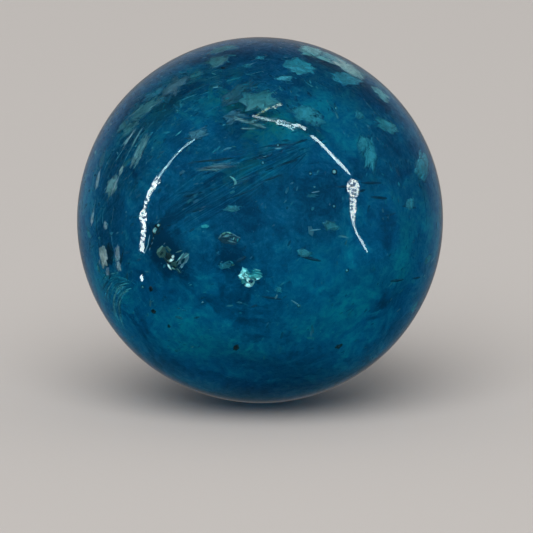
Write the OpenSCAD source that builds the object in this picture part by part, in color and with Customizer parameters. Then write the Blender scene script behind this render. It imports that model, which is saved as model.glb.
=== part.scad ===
// Glass marble: a gather of dense, cloudy blue glass under clear blue glass, in which mica, grit and fine
// air bubbles are sealed.
// Millimetres. The origin is the centre of the ball, +Z is up and -Y is the front.

/* [Ball] */
// Diameter of the ball
ball_d = 25; // [22:0.5:50]

/* [Mica flakes] */
// Length of a middling flake
flake_len = 1.4; // [0.8:0.1:1.8]
// Width of a middling flake
flake_w = 0.9; // [0.5:0.1:1.3]
// Thickness of a flake
flake_t = 0.12; // [0.06:0.02:0.2]
// Depth of the outermost flakes under the surface of the ball
flake_depth = 0.45; // [0.3:0.05:1]
// Depth from one layer of flakes to the next one in
layer_gap = 0.3; // [0.25:0.05:0.6]
// Number of flakes scattered over the back
back_flakes = 40; // [10:1:60]

/* [Mica clumps] */
// Length of one plate in a clump
plate_len = 1.2; // [0.6:0.1:1.8]
// Width of one plate in a clump
plate_w = 0.8; // [0.4:0.1:1.2]
// Thickness of one plate in a clump
plate_t = 0.18; // [0.1:0.02:0.3]
// Depth of the middle of a clump under the surface of the ball
clump_depth = 1.3; // [1:0.1:2.5]

/* [Grit] */
// Size of a grain of dark grit
grit_size = 0.42; // [0.2:0.02:0.7]
// Depth of the grit under the surface of the ball
grit_depth = 0.5; // [0.4:0.05:1]

/* [Bubbles] */
// Diameter of an air bubble
bubble_d = 0.24; // [0.1:0.02:0.4]
// Depth of the bubbles under the surface of the ball
bubble_depth = 0.7; // [0.4:0.05:1.5]

/* [Hidden] */
$fn = 128;

ball_r = ball_d / 2;
grain_t = grit_size * 0.7;
bubble_fn = 24;

// The cloudy glass begins this far under the surface, just clear of the deepest plates of the clumps
cloud_depth = clump_depth + 1.4 * plate_len;

// Direction that faces the viewer, in degrees above the equator of the ball
front_up = 11;
// The scattered flakes start this far round from the viewer's direction, in degrees
back_angle = 100;
// Turn from one scattered flake to the next, in degrees: the golden angle, which fills a ball evenly
golden_angle = 180 * (3 - sqrt(5));
back_seed = 7;

// Nothing scattered comes nearer to the middle of a clump than this, in degrees as seen from the centre
clump_clear_angle = 11;

// Outlines of split mica, each 1 long and 1 wide: a broad one, a notched one, a split one and a sliver
OUTLINES = [
    [[-0.50, -0.12], [-0.36, 0.38], [-0.02, 0.50], [0.26, 0.36], [0.50, 0.04], [0.33, -0.42],
        [-0.20, -0.50]],
    [[-0.50, 0.20], [-0.28, 0.50], [0.12, 0.38], [0.50, 0.46], [0.38, -0.06], [0.46, -0.38], [0.02, -0.50],
        [-0.10, -0.22], [-0.42, -0.34]],
    [[-0.50, -0.30], [-0.18, -0.10], [-0.44, 0.22], [-0.06, 0.50], [0.36, 0.34], [0.50, -0.08],
        [0.14, -0.50]],
    [[-0.50, -0.08], [-0.22, 0.44], [0.24, 0.50], [0.50, 0.10], [0.20, -0.38], [-0.24, -0.50]],
];
grain_outline = 2;

// A flake is [round, up, long, wide, turn, layer, outline]. Round and up are degrees from the front of
// the equator, long and wide are multiples of a middling flake, and turn is in degrees.
CROWN = [
    [35, 68, 1.2, 1.9, -30, 0, 0],
    [18, 63, 0.7, 0.5, -6, 2, 3],
    [72, 70, 1.6, 1.2, -79, 3, 1],
    [75, 60, 1.2, 1.3, -84, 1, 2],
    [61, 57, 1.4, 1.0, -40, 3, 3],
    [-41, 70, 1.0, 1.5, 67, 0, 2],
    [-12, 70, 0.4, 0.5, 5, 2, 3],
    [0, 73, 0.4, 0.5, 0, 0, 1],
    [-29, 59, 0.4, 0.4, 10, 3, 3],
    [-55, 56, 1.3, 1.6, 100, 1, 1],
    [-80, 78, 1.3, 1.2, 88, 3, 0],
];
SHOULDERS = [
    [24, 47, 1.2, 1.5, -31, 2, 0],
    [-1, 53, 1.2, 1.3, 13, 0, 1],
    [-13, 47, 0.7, 0.9, 40, 3, 2],
    [-5, 43, 0.7, 0.6, -4, 1, 3],
    [49, 43, 0.5, 0.6, -11, 1, 0],
    [62, 37, 1.2, 1.0, -29, 0, 2],
    [78, 47, 0.7, 1.2, -85, 2, 1],
    [-26, 39, 0.9, 0.7, 17, 0, 2],
    [-62, 43, 1.7, 1.3, 54, 0, 1],
    [-70, 36, 1.0, 0.7, 60, 2, 3],
    [-50, 32, 1.3, 0.9, 78, 1, 3],
    [-55, 29, 0.9, 0.6, 67, 3, 1],
    [-43, 49, 0.3, 0.4, 66, 3, 0],
];
FACE = [
    [-16, 28, 1.5, 0.5, 8, 3, 3],
    [-10, 15, 0.5, 0.4, 2, 0, 3],
    [45, 30, 1.6, 1.0, 54, 3, 2],
    [58, 11, 0.9, 0.8, 8, 0, 1],
    [23, 8, 0.7, 0.7, -13, 1, 0],
    [14, 0, 0.5, 0.5, -8, 0, 0],
    [18, 18, 0.5, 0.2, 1, 2, 3],
    [28, 4, 0.4, 0.2, -5, 3, 3],
    [6, -12, 0.3, 0.4, -32, 1, 2],
    [-11, -4, 0.6, 0.4, 17, 0, 3],
    [-41, 10, 0.5, 0.3, 45, 0, 3],
];
SIDES = [
    [-58, 16, 1.1, 1.0, 72, 0, 0],
    [-55, 22, 0.3, 0.3, 70, 2, 3],
    [-68, 17, 0.6, 0.6, 92, 1, 3],
    [-61, -6, 0.9, 0.9, 77, 0, 0],
    [-53, -4, 0.8, 0.5, 78, 2, 3],
    [-53, -9, 0.5, 0.5, 74, 0, 3],
    [-67, 5, 0.7, 0.6, 90, 2, 3],
    [-60, 4, 0.4, 0.5, 88, 3, 3],
    [-71, -1, 0.4, 0.6, 79, 1, 0],
    [-68, -12, 0.5, 0.4, 68, 3, 3],
    [75, 21, 1.2, 1.5, 59, 0, 0],
    [70, -9, 0.9, 0.5, 6, 1, 3],
    [69, -25, 0.5, 0.7, 25, 0, 3],
    [84, 3, 0.9, 0.8, 70, 2, 1],
];
HAND_LAID = concat(CROWN, SHOULDERS, FACE, SIDES);

// A clump is [round, up, turn, fan]: its plates lean apart by fan degrees.
CLUMPS = [
    [-4, -8, 10, 38],
    [-28, -2, -40, 62],
    [-10, 5, -5, 20],
    [-36, 6, 65, 30],
    [110, 20, 30, 50],
    [-130, -15, -60, 35],
    [175, 35, 15, 45],
    [150, -30, 80, 60],
];
// Each plate of a clump is [along, across, turn, tilt, outline]: its offset in plate lengths and widths,
// its turn in degrees, and its share of the clump's fan.
CLUMP_PLATES = [
    [-0.26, 0.22, 10, -0.5, 0],
    [0.28, 0.16, 75, 0.5, 2],
    [-0.04, -0.30, 40, 1, 3],
    [0.16, -0.08, -20, -1, 1],
];

// Grit and bubbles are [round, up].
GRIT = [
    [32, -35], [-9, -34], [-39, -22], [-34, -27], [-38, -14],
    [-30, 66], [120, -40], [-150, 10], [-100, 52], [95, -5],
];
BUBBLES = [
    [27, 25], [18, 25], [29, -7], [-42, -14], [38, 47], [25, 14], [1, 29], [7, 35],
    [13, -18], [100, 40], [130, 5], [-115, 30], [-95, -25], [170, -10], [-165, 55], [60, -45],
];

// The scattered flakes climb the ball in even steps and turn by the golden angle at each one. Those that
// would fall among the hand-laid ones, or on a clump, are left out.
back_total = back_flakes * 2;
draws = rands(0, 1, back_total * 4, back_seed);
function climb(i) = asin(1 - (2 * i + 1) / back_total);
function apart(a, b) = acos(min(1, cos(a[1]) * cos(b[1]) * cos(a[0] - b[0]) + sin(a[1]) * sin(b[1])));
function off_clumps(at) = min([for (c = CLUMPS) apart(at, c)]) > clump_clear_angle;
function scattered(i, at) = [
    at[0], at[1], 0.5 + 0.9 * draws[4 * i], 0.5 + 0.8 * draws[4 * i + 1], 180 * draws[4 * i + 2], i % 4,
    floor(3.99 * draws[4 * i + 3])
];
BACK = [
    for (i = [0:back_total - 1])
        let (at = [i * golden_angle, climb(i)])
            if (apart(at, [0, front_up]) > back_angle && off_clumps(at)) scattered(i, at)
];

// Moves a piece from the origin to a place at a depth under the surface, with its +Z facing outwards.
module place(round, up, depth) {
    rotate([-up, 0, round]) translate([0, depth - ball_r, 0]) rotate([90, 0, 0]) children();
}

// One plate of mica, of an outline scaled to a length and a width.
module plate(length, width, thickness, outline) {
    linear_extrude(height = thickness, center = true)
        polygon([for (p = outline) [p.x * length, p.y * width]]);
}

module all_flakes() {
    for (f = concat(HAND_LAID, BACK))
        place(f[0], f[1], flake_depth + f[5] * layer_gap)
            rotate([0, 0, f[4]])
                plate(f[2] * flake_len, f[3] * flake_w, flake_t, OUTLINES[f[6]]);
}

module clump(fan) {
    for (p = CLUMP_PLATES)
        translate([p[0] * plate_len, p[1] * plate_w, 0])
            rotate([p[3] * fan, 0, p[2]])
                plate(plate_len, plate_w, plate_t, OUTLINES[p[4]]);
}

module all_clumps() {
    for (c = CLUMPS) place(c[0], c[1], clump_depth) rotate([0, 0, c[2]]) clump(c[3]);
}

module all_grit() {
    for (g = GRIT)
        place(g[0], g[1], grit_depth)
            plate(grit_size, grit_size, grain_t, OUTLINES[grain_outline]);
}

module all_bubbles() {
    for (b = BUBBLES) place(b[0], b[1], bubble_depth) sphere(d = bubble_d, $fn = bubble_fn);
}

module cloud() {
    sphere(r = ball_r - cloud_depth);
}

module glass_ball() {
    color("#075a80", 0.55)
        difference() {
            sphere(d = ball_d);
            cloud();
            all_flakes();
            all_clumps();
            all_grit();
            all_bubbles();
        }
}

module cloudy_glass() {
    color("#0a5a86") cloud();
}

module mica_flakes() {
    color("#5fa9a8") all_flakes();
}

module mica_clumps() {
    color("#9fd8cf") all_clumps();
}

module dark_grit() {
    color("#10222c") all_grit();
}

glass_ball();
cloudy_glass();
mica_flakes();
mica_clumps();
dark_grit();
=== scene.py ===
"""Hand-made glass marble: deep blue glass with mica, grit and bubbles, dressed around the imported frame.

Every length is in metres, +Z is up, -Y is the front, and the origin is the centre of the ball. A place on
or in the ball is two angles in degrees: round, from the front towards +X, and up, from the equator.
"""
import logging
from collections.abc import Sequence
from dataclasses import dataclass, field
from enum import Enum

import bpy
import numpy as np
from mathutils import Matrix, Vector


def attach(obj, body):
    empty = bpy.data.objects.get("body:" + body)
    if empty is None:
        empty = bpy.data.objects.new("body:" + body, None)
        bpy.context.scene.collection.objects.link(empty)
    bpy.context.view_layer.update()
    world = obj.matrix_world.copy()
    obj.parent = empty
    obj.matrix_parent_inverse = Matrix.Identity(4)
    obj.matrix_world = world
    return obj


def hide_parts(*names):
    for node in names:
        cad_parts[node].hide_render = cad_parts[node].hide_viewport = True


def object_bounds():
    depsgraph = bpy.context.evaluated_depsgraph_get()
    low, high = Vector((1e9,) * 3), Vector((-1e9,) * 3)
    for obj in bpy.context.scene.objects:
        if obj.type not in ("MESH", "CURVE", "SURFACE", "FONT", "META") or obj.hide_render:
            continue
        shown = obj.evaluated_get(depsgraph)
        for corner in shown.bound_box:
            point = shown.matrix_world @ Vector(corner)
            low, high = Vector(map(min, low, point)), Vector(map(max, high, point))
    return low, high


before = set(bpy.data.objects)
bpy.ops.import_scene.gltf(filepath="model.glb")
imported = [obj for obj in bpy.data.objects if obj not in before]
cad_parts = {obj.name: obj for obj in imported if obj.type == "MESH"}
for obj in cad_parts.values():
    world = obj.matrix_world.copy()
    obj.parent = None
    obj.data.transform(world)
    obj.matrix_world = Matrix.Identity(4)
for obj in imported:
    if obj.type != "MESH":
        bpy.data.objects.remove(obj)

CAD_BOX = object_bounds()
BALL_RADIUS = (CAD_BOX[1].z - CAD_BOX[0].z) / 2
MM = 0.001
LOG = logging.getLogger("marble")

Place = tuple[float, float]
Colour = tuple[float, float, float]


class Slot(Enum):
    """The record's material slots."""

    GLASS = "blue_glass"
    CLOUD = "cloudy_glass"
    MICA = "mica"
    CLUMP = "mica_clump"
    GRIT = "grit"


# --- Places in the ball ------------------------------------------------------------------------------


def outward(around: np.ndarray | float, up: np.ndarray | float) -> np.ndarray:
    """Unit vectors from the centre: (cos up sin round, -cos up cos round, sin up), with x, y and z last."""
    a, e = np.broadcast_arrays(np.radians(around), np.radians(up))
    return np.stack([np.cos(e) * np.sin(a), -np.cos(e) * np.cos(a), np.sin(e)], axis=-1)


def tangents(around: np.ndarray | float, up: np.ndarray | float) -> tuple[np.ndarray, np.ndarray]:
    """Unit vectors to the right and upwards along the surface, as seen from outside.

    right = (cos round, sin round, 0) and upward = (-sin up sin round, sin up cos round, cos up).

    Args:
        around: Degrees round from the front.
        up: Degrees up from the equator.

    Returns:
        The right and the upward vectors.
    """
    a, e = np.broadcast_arrays(np.radians(around), np.radians(up))
    right = np.stack([np.cos(a), np.sin(a), np.zeros_like(a)], axis=-1)
    upward = np.stack([-np.sin(e) * np.sin(a), np.sin(e) * np.cos(a), np.cos(e)], axis=-1)
    return right, upward


def angles_of(points: np.ndarray) -> tuple[np.ndarray, np.ndarray]:
    """The two angles of unit vectors: round = atan2(x, -y) and up = asin(z), in degrees."""
    around = np.degrees(np.arctan2(points[..., 0], -points[..., 1]))
    return around, np.degrees(np.arcsin(np.clip(points[..., 2], -1, 1)))


def ripples(points: np.ndarray, seed: int, waves: int, low: float, high: float) -> np.ndarray:
    """Smooth random values, mostly between -1 and 1, over unit vectors.

    value(p) = sum of sin(k p + s) over random directions k, of a length from low to high, over sqrt(waves).

    Args:
        points: Unit vectors.
        seed: Seed of the random directions and phases.
        waves: Number of waves added up.
        low: Shortest wave vector, in radians for each ball radius.
        high: Longest wave vector.

    Returns:
        One value for each point.
    """
    rng = np.random.default_rng(seed)
    k = rng.normal(size=(waves, 3))
    k *= (rng.uniform(low, high, waves) / np.linalg.norm(k, axis=1))[:, None]
    phase = rng.uniform(0, 2 * np.pi, waves)
    return np.sin(points @ k.T + phase).sum(axis=-1) / np.sqrt(waves)


@dataclass(frozen=True)
class Zone:
    """A soft-edged patch of the ball: its middle, its size and turn in degrees, and its strength."""

    around: float
    up: float
    wide: float
    tall: float
    turn: float = 0.0
    strength: float = 1.0

    def weight(self, points: np.ndarray) -> np.ndarray:
        """strength * exp(-(a / wide)^2 - (b / tall)^2).

        a and b are the degrees from the patch's middle, along it and across it.

        Args:
            points: Unit vectors.

        Returns:
            The weight at each point.
        """
        middle = outward(self.around, self.up)
        right, upward = tangents(self.around, self.up)
        t = np.radians(self.turn)
        along = right * np.cos(t) + upward * np.sin(t)
        across = upward * np.cos(t) - right * np.sin(t)
        off = np.degrees(np.arccos(np.clip(points @ middle, -1, 1)))
        bearing = np.arctan2(points @ across, points @ along)
        a, b = off * np.cos(bearing), off * np.sin(bearing)
        return self.strength * np.exp(-(a / self.wide) ** 2 - (b / self.tall) ** 2)


def zoned(points: np.ndarray, zones: tuple[Zone, ...]) -> np.ndarray:
    """The sum of several zones' weights at each point."""
    return sum((zone.weight(points) for zone in zones), np.zeros(points.shape[:-1]))


def table_columns(rows: Sequence[tuple], *which: int) -> list[np.ndarray]:
    """Some of the columns of a table, each as an array of numbers."""
    return [np.array([row[i] for row in rows], float) for i in which]


# --- Shapes ------------------------------------------------------------------------------------------


@dataclass(frozen=True)
class Sheet:
    """A set of corners and faces, ready for a mesh."""

    corners: np.ndarray
    faces: list[np.ndarray]

    def flipped(self) -> "Sheet":
        """The same faces, turned to face the other way."""
        return Sheet(self.corners, [f[:, ::-1] for f in self.faces])


def joined(sheets: list[Sheet]) -> Sheet:
    """One sheet that holds all of several, without welding them.

    Args:
        sheets: The sheets to put together.

    Returns:
        The joined sheet.
    """
    starts = np.cumsum([0] + [len(s.corners) for s in sheets[:-1]])
    faces = [f + start for s, start in zip(sheets, starts) for f in s.faces]
    return Sheet(np.concatenate([s.corners for s in sheets]), faces)


def repeated(faces: list[np.ndarray], copies: int, corners: int) -> list[np.ndarray]:
    """The faces of one shape, repeated for copies of so many corners each, which follow one another."""
    starts = (np.arange(copies) * corners)[:, None, None]
    return [(f[None] + starts).reshape(-1, f.shape[1]) for f in faces]


def globe(rows: int, columns: int) -> tuple[np.ndarray, list[np.ndarray]]:
    """Unit vectors over a whole ball, with one corner at each pole, and faces that point outwards.

    Args:
        rows: Rings of corners between the poles.
        columns: Corners in a ring.

    Returns:
        The unit vectors, and a list of the square and the triangular faces.
    """
    up = 90 - 180 * (np.arange(rows) + 1) / (rows + 1)
    around = 360 * np.arange(columns) / columns
    ring = outward(around[None, :], up[:, None]).reshape(-1, 3)
    points = np.concatenate([ring, [[0, 0, 1], [0, 0, -1]]])
    here = np.arange(rows * columns).reshape(rows, columns)
    beside = np.roll(here, -1, axis=1)
    squares = np.stack([here[1:], beside[1:], beside[:-1], here[:-1]], axis=-1).reshape(-1, 4)
    top = np.stack([here[0], beside[0], np.full(columns, rows * columns)], axis=-1)
    bottom = np.stack([beside[-1], here[-1], np.full(columns, rows * columns + 1)], axis=-1)
    return points, [squares, np.concatenate([top, bottom])]


def plates(rims: np.ndarray, centres: np.ndarray, axes: np.ndarray, thickness: np.ndarray,
           dish: np.ndarray) -> tuple[Sheet, np.ndarray]:
    """Closed thin plates: each a rim on two faces, with an inner ring and a middle corner on each face.

    A corner's height over the plate's middle plane is dish * (x^2 - y^2) / rim size, plus or minus half the
    thickness; the rim itself is a quarter as thick, as split mica is.

    Args:
        rims: Outlines, as plates by corners by 2, in metres, anticlockwise.
        centres: The plates' centres.
        axes: The plates' own x, y and z directions, as plates by 3 by 3, one direction in a row.
        thickness: The plates' thicknesses.
        dish: How far the plates curl.

    Returns:
        The sheet, and for each corner 0 at the rim, 0.6 on the inner ring and 1 in the middle.
    """
    count, around = rims.shape[:2]
    size = np.abs(rims).max(axis=(1, 2))[:, None]
    inner_ring, half, rim_half = 0.72, 0.5, 0.125
    blocks = []
    for share, side in ((1.0, rim_half), (inner_ring, half), (0.0, half),
                        (1.0, -rim_half), (inner_ring, -half), (0.0, -half)):
        flat = rims[:, :1] * 0 if share == 0 else rims * share
        curl = dish[:, None] * (flat[..., 0] ** 2 - flat[..., 1] ** 2) / size ** 2
        height = curl + side * thickness[:, None]
        blocks.append(np.concatenate([flat, height[..., None]], axis=-1))
    local = np.concatenate(blocks, axis=1)
    corners = centres[:, None, :] + local @ axes
    n = np.arange(around)
    m = (n + 1) % around
    low = 2 * around + 1
    squares = [np.stack([n, m, m + around, n + around], axis=-1),
               np.stack([n + low + around, m + low + around, m + low, n + low], axis=-1),
               np.stack([n + low, m + low, m, n], axis=-1)]
    fans = [np.stack([n + around, m + around, np.full(around, 2 * around)], axis=-1),
            np.stack([m + low + around, n + low + around, np.full(around, low + 2 * around)], axis=-1)]
    faces = repeated([np.concatenate(squares), np.concatenate(fans)], count, local.shape[1])
    inner = np.tile(np.repeat([0.0, 0.6, 1.0], [around, around, 1]), 2)
    return Sheet(corners.reshape(-1, 3), faces), np.tile(inner, count)


def tubes(paths: np.ndarray, radii: np.ndarray, sides: int = 5, flat: float = 1.0) -> Sheet:
    """Closed threads along paths, round or flattened, each drawn out to a point at both ends.

    The thread's radius at a step is radius * sqrt(sin(pi s)), with s from 0 to 1 along it.

    Args:
        paths: Paths, as threads by steps by 3.
        radii: The threads' radii.
        sides: Corners around a thread.
        flat: Height of the section towards the ball's surface, as a share of its width.

    Returns:
        The sheet.
    """
    count, steps = paths.shape[:2]
    ahead = np.gradient(paths, axis=1)
    ahead /= np.linalg.norm(ahead, axis=-1, keepdims=True)
    out = paths / np.linalg.norm(paths, axis=-1, keepdims=True)
    side = np.cross(ahead, out)
    side /= np.linalg.norm(side, axis=-1, keepdims=True)
    out = np.cross(side, ahead)
    share = np.sqrt(np.sin(np.pi * (np.arange(1, steps - 1)) / (steps - 1)))
    turn = 2 * np.pi * np.arange(sides) / sides
    width = radii[:, None, None, None] * share[None, :, None, None]
    across = side[:, 1:-1, None] * np.cos(turn)[:, None]
    outwards = out[:, 1:-1, None] * np.sin(turn)[:, None] * flat
    body = (paths[:, 1:-1, None] + (across + outwards) * width).reshape(count, -1, 3)
    corners = np.concatenate([body, paths[:, :1], paths[:, -1:]], axis=1)
    here = np.arange((steps - 2) * sides).reshape(steps - 2, sides)
    beside = np.roll(here, -1, axis=1)
    first, last = (steps - 2) * sides, (steps - 2) * sides + 1
    squares = np.stack([here[:-1], beside[:-1], beside[1:], here[1:]], axis=-1).reshape(-1, 4)[:, ::-1]
    fans = np.concatenate([np.stack([beside[0], here[0], np.full(sides, first)], axis=-1),
                           np.stack([here[-1], beside[-1], np.full(sides, last)], axis=-1)])[:, ::-1]
    return Sheet(corners.reshape(-1, 3), repeated([squares, fans], count, first + 2))


def made_piece(name: str, sheet: Sheet, material: bpy.types.Material,
               smooth: bool = True) -> bpy.types.Object:
    """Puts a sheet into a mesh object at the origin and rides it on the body.

    Args:
        name: The piece's name.
        sheet: Its corners and faces.
        material: Its finish.
        smooth: Whether its faces are shaded smooth.

    Returns:
        The new object.
    """
    mesh = bpy.data.meshes.new(name)
    sizes = np.concatenate([np.full(len(f), f.shape[1]) for f in sheet.faces])
    loops = np.concatenate([f.ravel() for f in sheet.faces]).astype(np.int32)
    mesh.vertices.add(len(sheet.corners))
    mesh.vertices.foreach_set("co", sheet.corners.astype(np.float32).ravel())
    mesh.loops.add(len(loops))
    mesh.loops.foreach_set("vertex_index", loops)
    mesh.polygons.add(len(sizes))
    mesh.polygons.foreach_set("loop_start", np.concatenate([[0], np.cumsum(sizes)[:-1]]).astype(np.int32))
    mesh.polygons.foreach_set("loop_total", sizes.astype(np.int32))
    mesh.polygons.foreach_set("use_smooth", np.full(len(sizes), smooth))
    mesh.update(calc_edges=True)
    if mesh.validate():
        raise ValueError(f"{name} has broken faces")
    mesh.materials.append(material)
    piece = bpy.data.objects.new(name, mesh)
    bpy.context.scene.collection.objects.link(piece)
    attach(piece, "root")
    LOG.info("%s: %d corners, %d faces", name, len(sheet.corners), len(sizes))
    return piece


def tint(piece: bpy.types.Object, name: str, values: np.ndarray) -> None:
    """Keeps a number or a colour for each corner of a piece, as an attribute.

    Args:
        piece: The piece.
        name: The attribute's name.
        values: One number, or three parts of a colour, for each corner.
    """
    if values.ndim == 1:
        kept = piece.data.attributes.new(name, "FLOAT", "POINT")
        kept.data.foreach_set("value", values.astype(np.float32))
    else:
        kept = piece.data.attributes.new(name, "FLOAT_COLOR", "POINT")
        full = np.concatenate([values, np.ones((len(values), 1))], axis=1)
        kept.data.foreach_set("color", full.astype(np.float32).ravel())


# --- Finishes ----------------------------------------------------------------------------------------


class Nodes:
    """Adds shader nodes to a node tree and joins them."""

    def __init__(self, tree: bpy.types.NodeTree) -> None:
        """Keeps the tree that the nodes go into."""
        self.tree = tree

    def add(self, kind: str, settings: dict[str, object] | None = None, **inputs: object) -> bpy.types.Node:
        """A new node, with plain values or links on the inputs named.

        Args:
            kind: The node's type, without its leading ShaderNode.
            settings: The node's own settings.
            **inputs: An input's name, with _ for a space, and a value or another node's socket.

        Returns:
            The node.
        """
        node = self.tree.nodes.new("ShaderNode" + kind)
        for key, value in (settings or {}).items():
            setattr(node, key, value)
        for key, value in inputs.items():
            self.put(value, node.inputs[key.replace("_", " ")])
        return node

    def put(self, value: object, socket: bpy.types.NodeSocket) -> None:
        """Links a socket to an input, or writes a plain value on it.

        Args:
            value: Another node's socket, a number, or the parts of a colour or a vector.
            socket: The input.
        """
        if isinstance(value, bpy.types.NodeSocket):
            self.tree.links.new(value, socket)
        else:
            socket.default_value = (*value, 1) if socket.type == "RGBA" and len(value) == 3 else value

    def fill(self, node: bpy.types.Node, *values: object) -> bpy.types.Node:
        """Puts values on a node's inputs, in their order.

        Args:
            node: The node.
            *values: A value or a socket for each input, from the first.

        Returns:
            The same node.
        """
        for value, socket in zip(values, node.inputs):
            self.put(value, socket)
        return node

    def maths(self, operation: str, *values: object) -> bpy.types.NodeSocket:
        """Two or three values put together by a Math operation."""
        return self.fill(self.add("Math", {"operation": operation}), *values).outputs[0]

    def ramp(self, value: bpy.types.NodeSocket,
             stops: tuple[tuple[float, Colour], ...]) -> bpy.types.NodeSocket:
        """Colours along a value from 0 to 1.

        Args:
            value: The value.
            stops: A position and a colour for each stop.

        Returns:
            The colour.
        """
        node = self.add("ValToRGB", Fac=value)
        points = node.color_ramp.elements
        while len(points) < len(stops):
            points.new(0.5)
        for point, (position, colour) in zip(points, stops):
            point.position = position
            point.color = (*colour, 1)
        return node.outputs["Color"]

    def span(self, value: bpy.types.NodeSocket, low: float, high: float, to_low: float = 0.0,
             to_high: float = 1.0, kind: str = "SMOOTHSTEP") -> bpy.types.NodeSocket:
        """A value carried from one range to another, and held at its ends.

        Args:
            value: The value.
            low: The lower end of its range.
            high: The upper end.
            to_low: What the lower end becomes.
            to_high: What the upper end becomes.
            kind: How it goes between them.

        Returns:
            The new value.
        """
        node = self.add("MapRange", {"interpolation_type": kind}, Value=value, From_Min=low, From_Max=high,
                        To_Min=to_low, To_Max=to_high)
        return node.outputs["Result"]

    def mixed(self, share: object, first: object, second: object, blend: str = "MIX") -> bpy.types.NodeSocket:
        """Two colours mixed by a share.

        Args:
            share: The share of the second colour.
            first: The first colour.
            second: The second colour.
            blend: How they are mixed.

        Returns:
            The mixed colour.
        """
        node = self.add("Mix", {"data_type": "RGBA", "blend_type": blend})
        # Inputs 6 and 7 and output 2 are the node's own for colours.
        for place, value in ((0, share), (6, first), (7, second)):
            self.put(value, node.inputs[place])
        return node.outputs[2]


class Recipe(Nodes):
    """The nodes of one new material."""

    def __init__(self, name: str) -> None:
        """Starts an empty material.

        Args:
            name: The material's name.
        """
        self.material = bpy.data.materials.new(name)
        self.material.use_nodes = True
        super().__init__(self.material.node_tree)
        self.tree.nodes.clear()
        self.output = self.add("OutputMaterial")

    def finish(self, surface: bpy.types.Node, volume: bpy.types.Node | None = None) -> bpy.types.Material:
        """Joins the last shader, and a volume if there is one.

        Args:
            surface: The surface's shader.
            volume: The shader of what lies inside.

        Returns:
            The finished material.
        """
        self.put(surface.outputs[0], self.output.inputs["Surface"])
        if volume is not None:
            self.put(volume.outputs[0], self.output.inputs["Volume"])
        return self.material

    def places(self) -> bpy.types.NodeSocket:
        """Object coordinates."""
        return self.add("TexCoord").outputs["Object"]

    def kept(self, name: str, output: str = "Fac") -> bpy.types.NodeSocket:
        """The values of one of the piece's own attributes."""
        return self.add("Attribute", {"attribute_name": name}).outputs[output]

    def noise(self, scale: float, detail: float = 3.0, roughness: float = 0.55, distortion: float = 0.0,
              depth: bpy.types.NodeSocket | None = None) -> bpy.types.NodeSocket:
        """Noise values from 0 to 1 over the places, and along a fourth value if one is given.

        Args:
            scale: How many lumps there are in a metre, roughly.
            detail: How many finer sizes of lump are added.
            roughness: How strong the finer ones are.
            distortion: How far the lumps are drawn out of shape.
            depth: The fourth value.

        Returns:
            The noise.
        """
        node = self.add("TexNoise", {"noise_dimensions": "4D" if depth else "3D"}, Vector=self.places(),
                        Scale=scale, Detail=detail, Roughness=roughness, Distortion=distortion)
        if depth:
            self.put(depth, node.inputs["W"])
        return node.outputs["Fac"]

    def patchy(self, low: float, high: float, *noise: float) -> bpy.types.NodeSocket:
        """Noise whose values from low to high are carried smoothly to 0..1."""
        return self.span(self.noise(*noise), low, high)

    def swayed(self, start: object, value: bpy.types.NodeSocket, share: object) -> bpy.types.NodeSocket:
        """start + (value - 0.5) * share, for a value that lies about 0.5."""
        return self.maths("MULTIPLY_ADD", self.maths("SUBTRACT", value, 0.5), share, start)


@dataclass(frozen=True)
class GlassFinish:
    """Clear deep-blue glass, which bends and mirrors light at its surface and takes it off by depth.

    Taken is how much of each colour is lost in a metre. Let out is the share of light that a white thing in
    the glass sends out, and path is how many times its depth the light travels.
    """

    ior: float = 1.5
    roughness: float = 0.01
    taken: Colour = (900.0, 75.0, 35.0)
    let_out: float = 0.41
    path: float = 2.3

    def made(self) -> bpy.types.Material:
        """The glass: the light left after a path is exp(-taken * path) in each colour.

        Returns:
            The material.
        """
        recipe = Recipe("blue_glass")
        surface = recipe.add("BsdfPrincipled", Base_Color=(1, 1, 1), Roughness=self.roughness, IOR=self.ior,
                             Transmission_Weight=1.0)
        density = max(self.taken)
        colour = tuple(1 - part / density for part in self.taken)
        return recipe.finish(surface, recipe.add("VolumeAbsorption", Color=colour, Density=density))

    def own(self, seen: np.ndarray | Colour, depth: np.ndarray | float) -> np.ndarray:
        """The own colour that a thing in the glass needs, to have a wanted colour from outside.

        own = seen / (let_out * exp(-path * depth * taken)), held under 0.98, and never mostly red.

        Args:
            seen: The wanted colours.
            depth: How deep the things lie, one for each colour.

        Returns:
            The own colours.
        """
        left = self.let_out * np.exp(-self.path * np.asarray(depth, float)[..., None] * np.array(self.taken))
        own = np.clip(np.asarray(seen, float) / left, 0.0, 0.98)
        own[..., 0] = np.minimum(own[..., 0], own[..., 1:].max(axis=-1))
        return own


GLASS = GlassFinish()
BODY = (0.0012, 0.058, 0.135)


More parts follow.
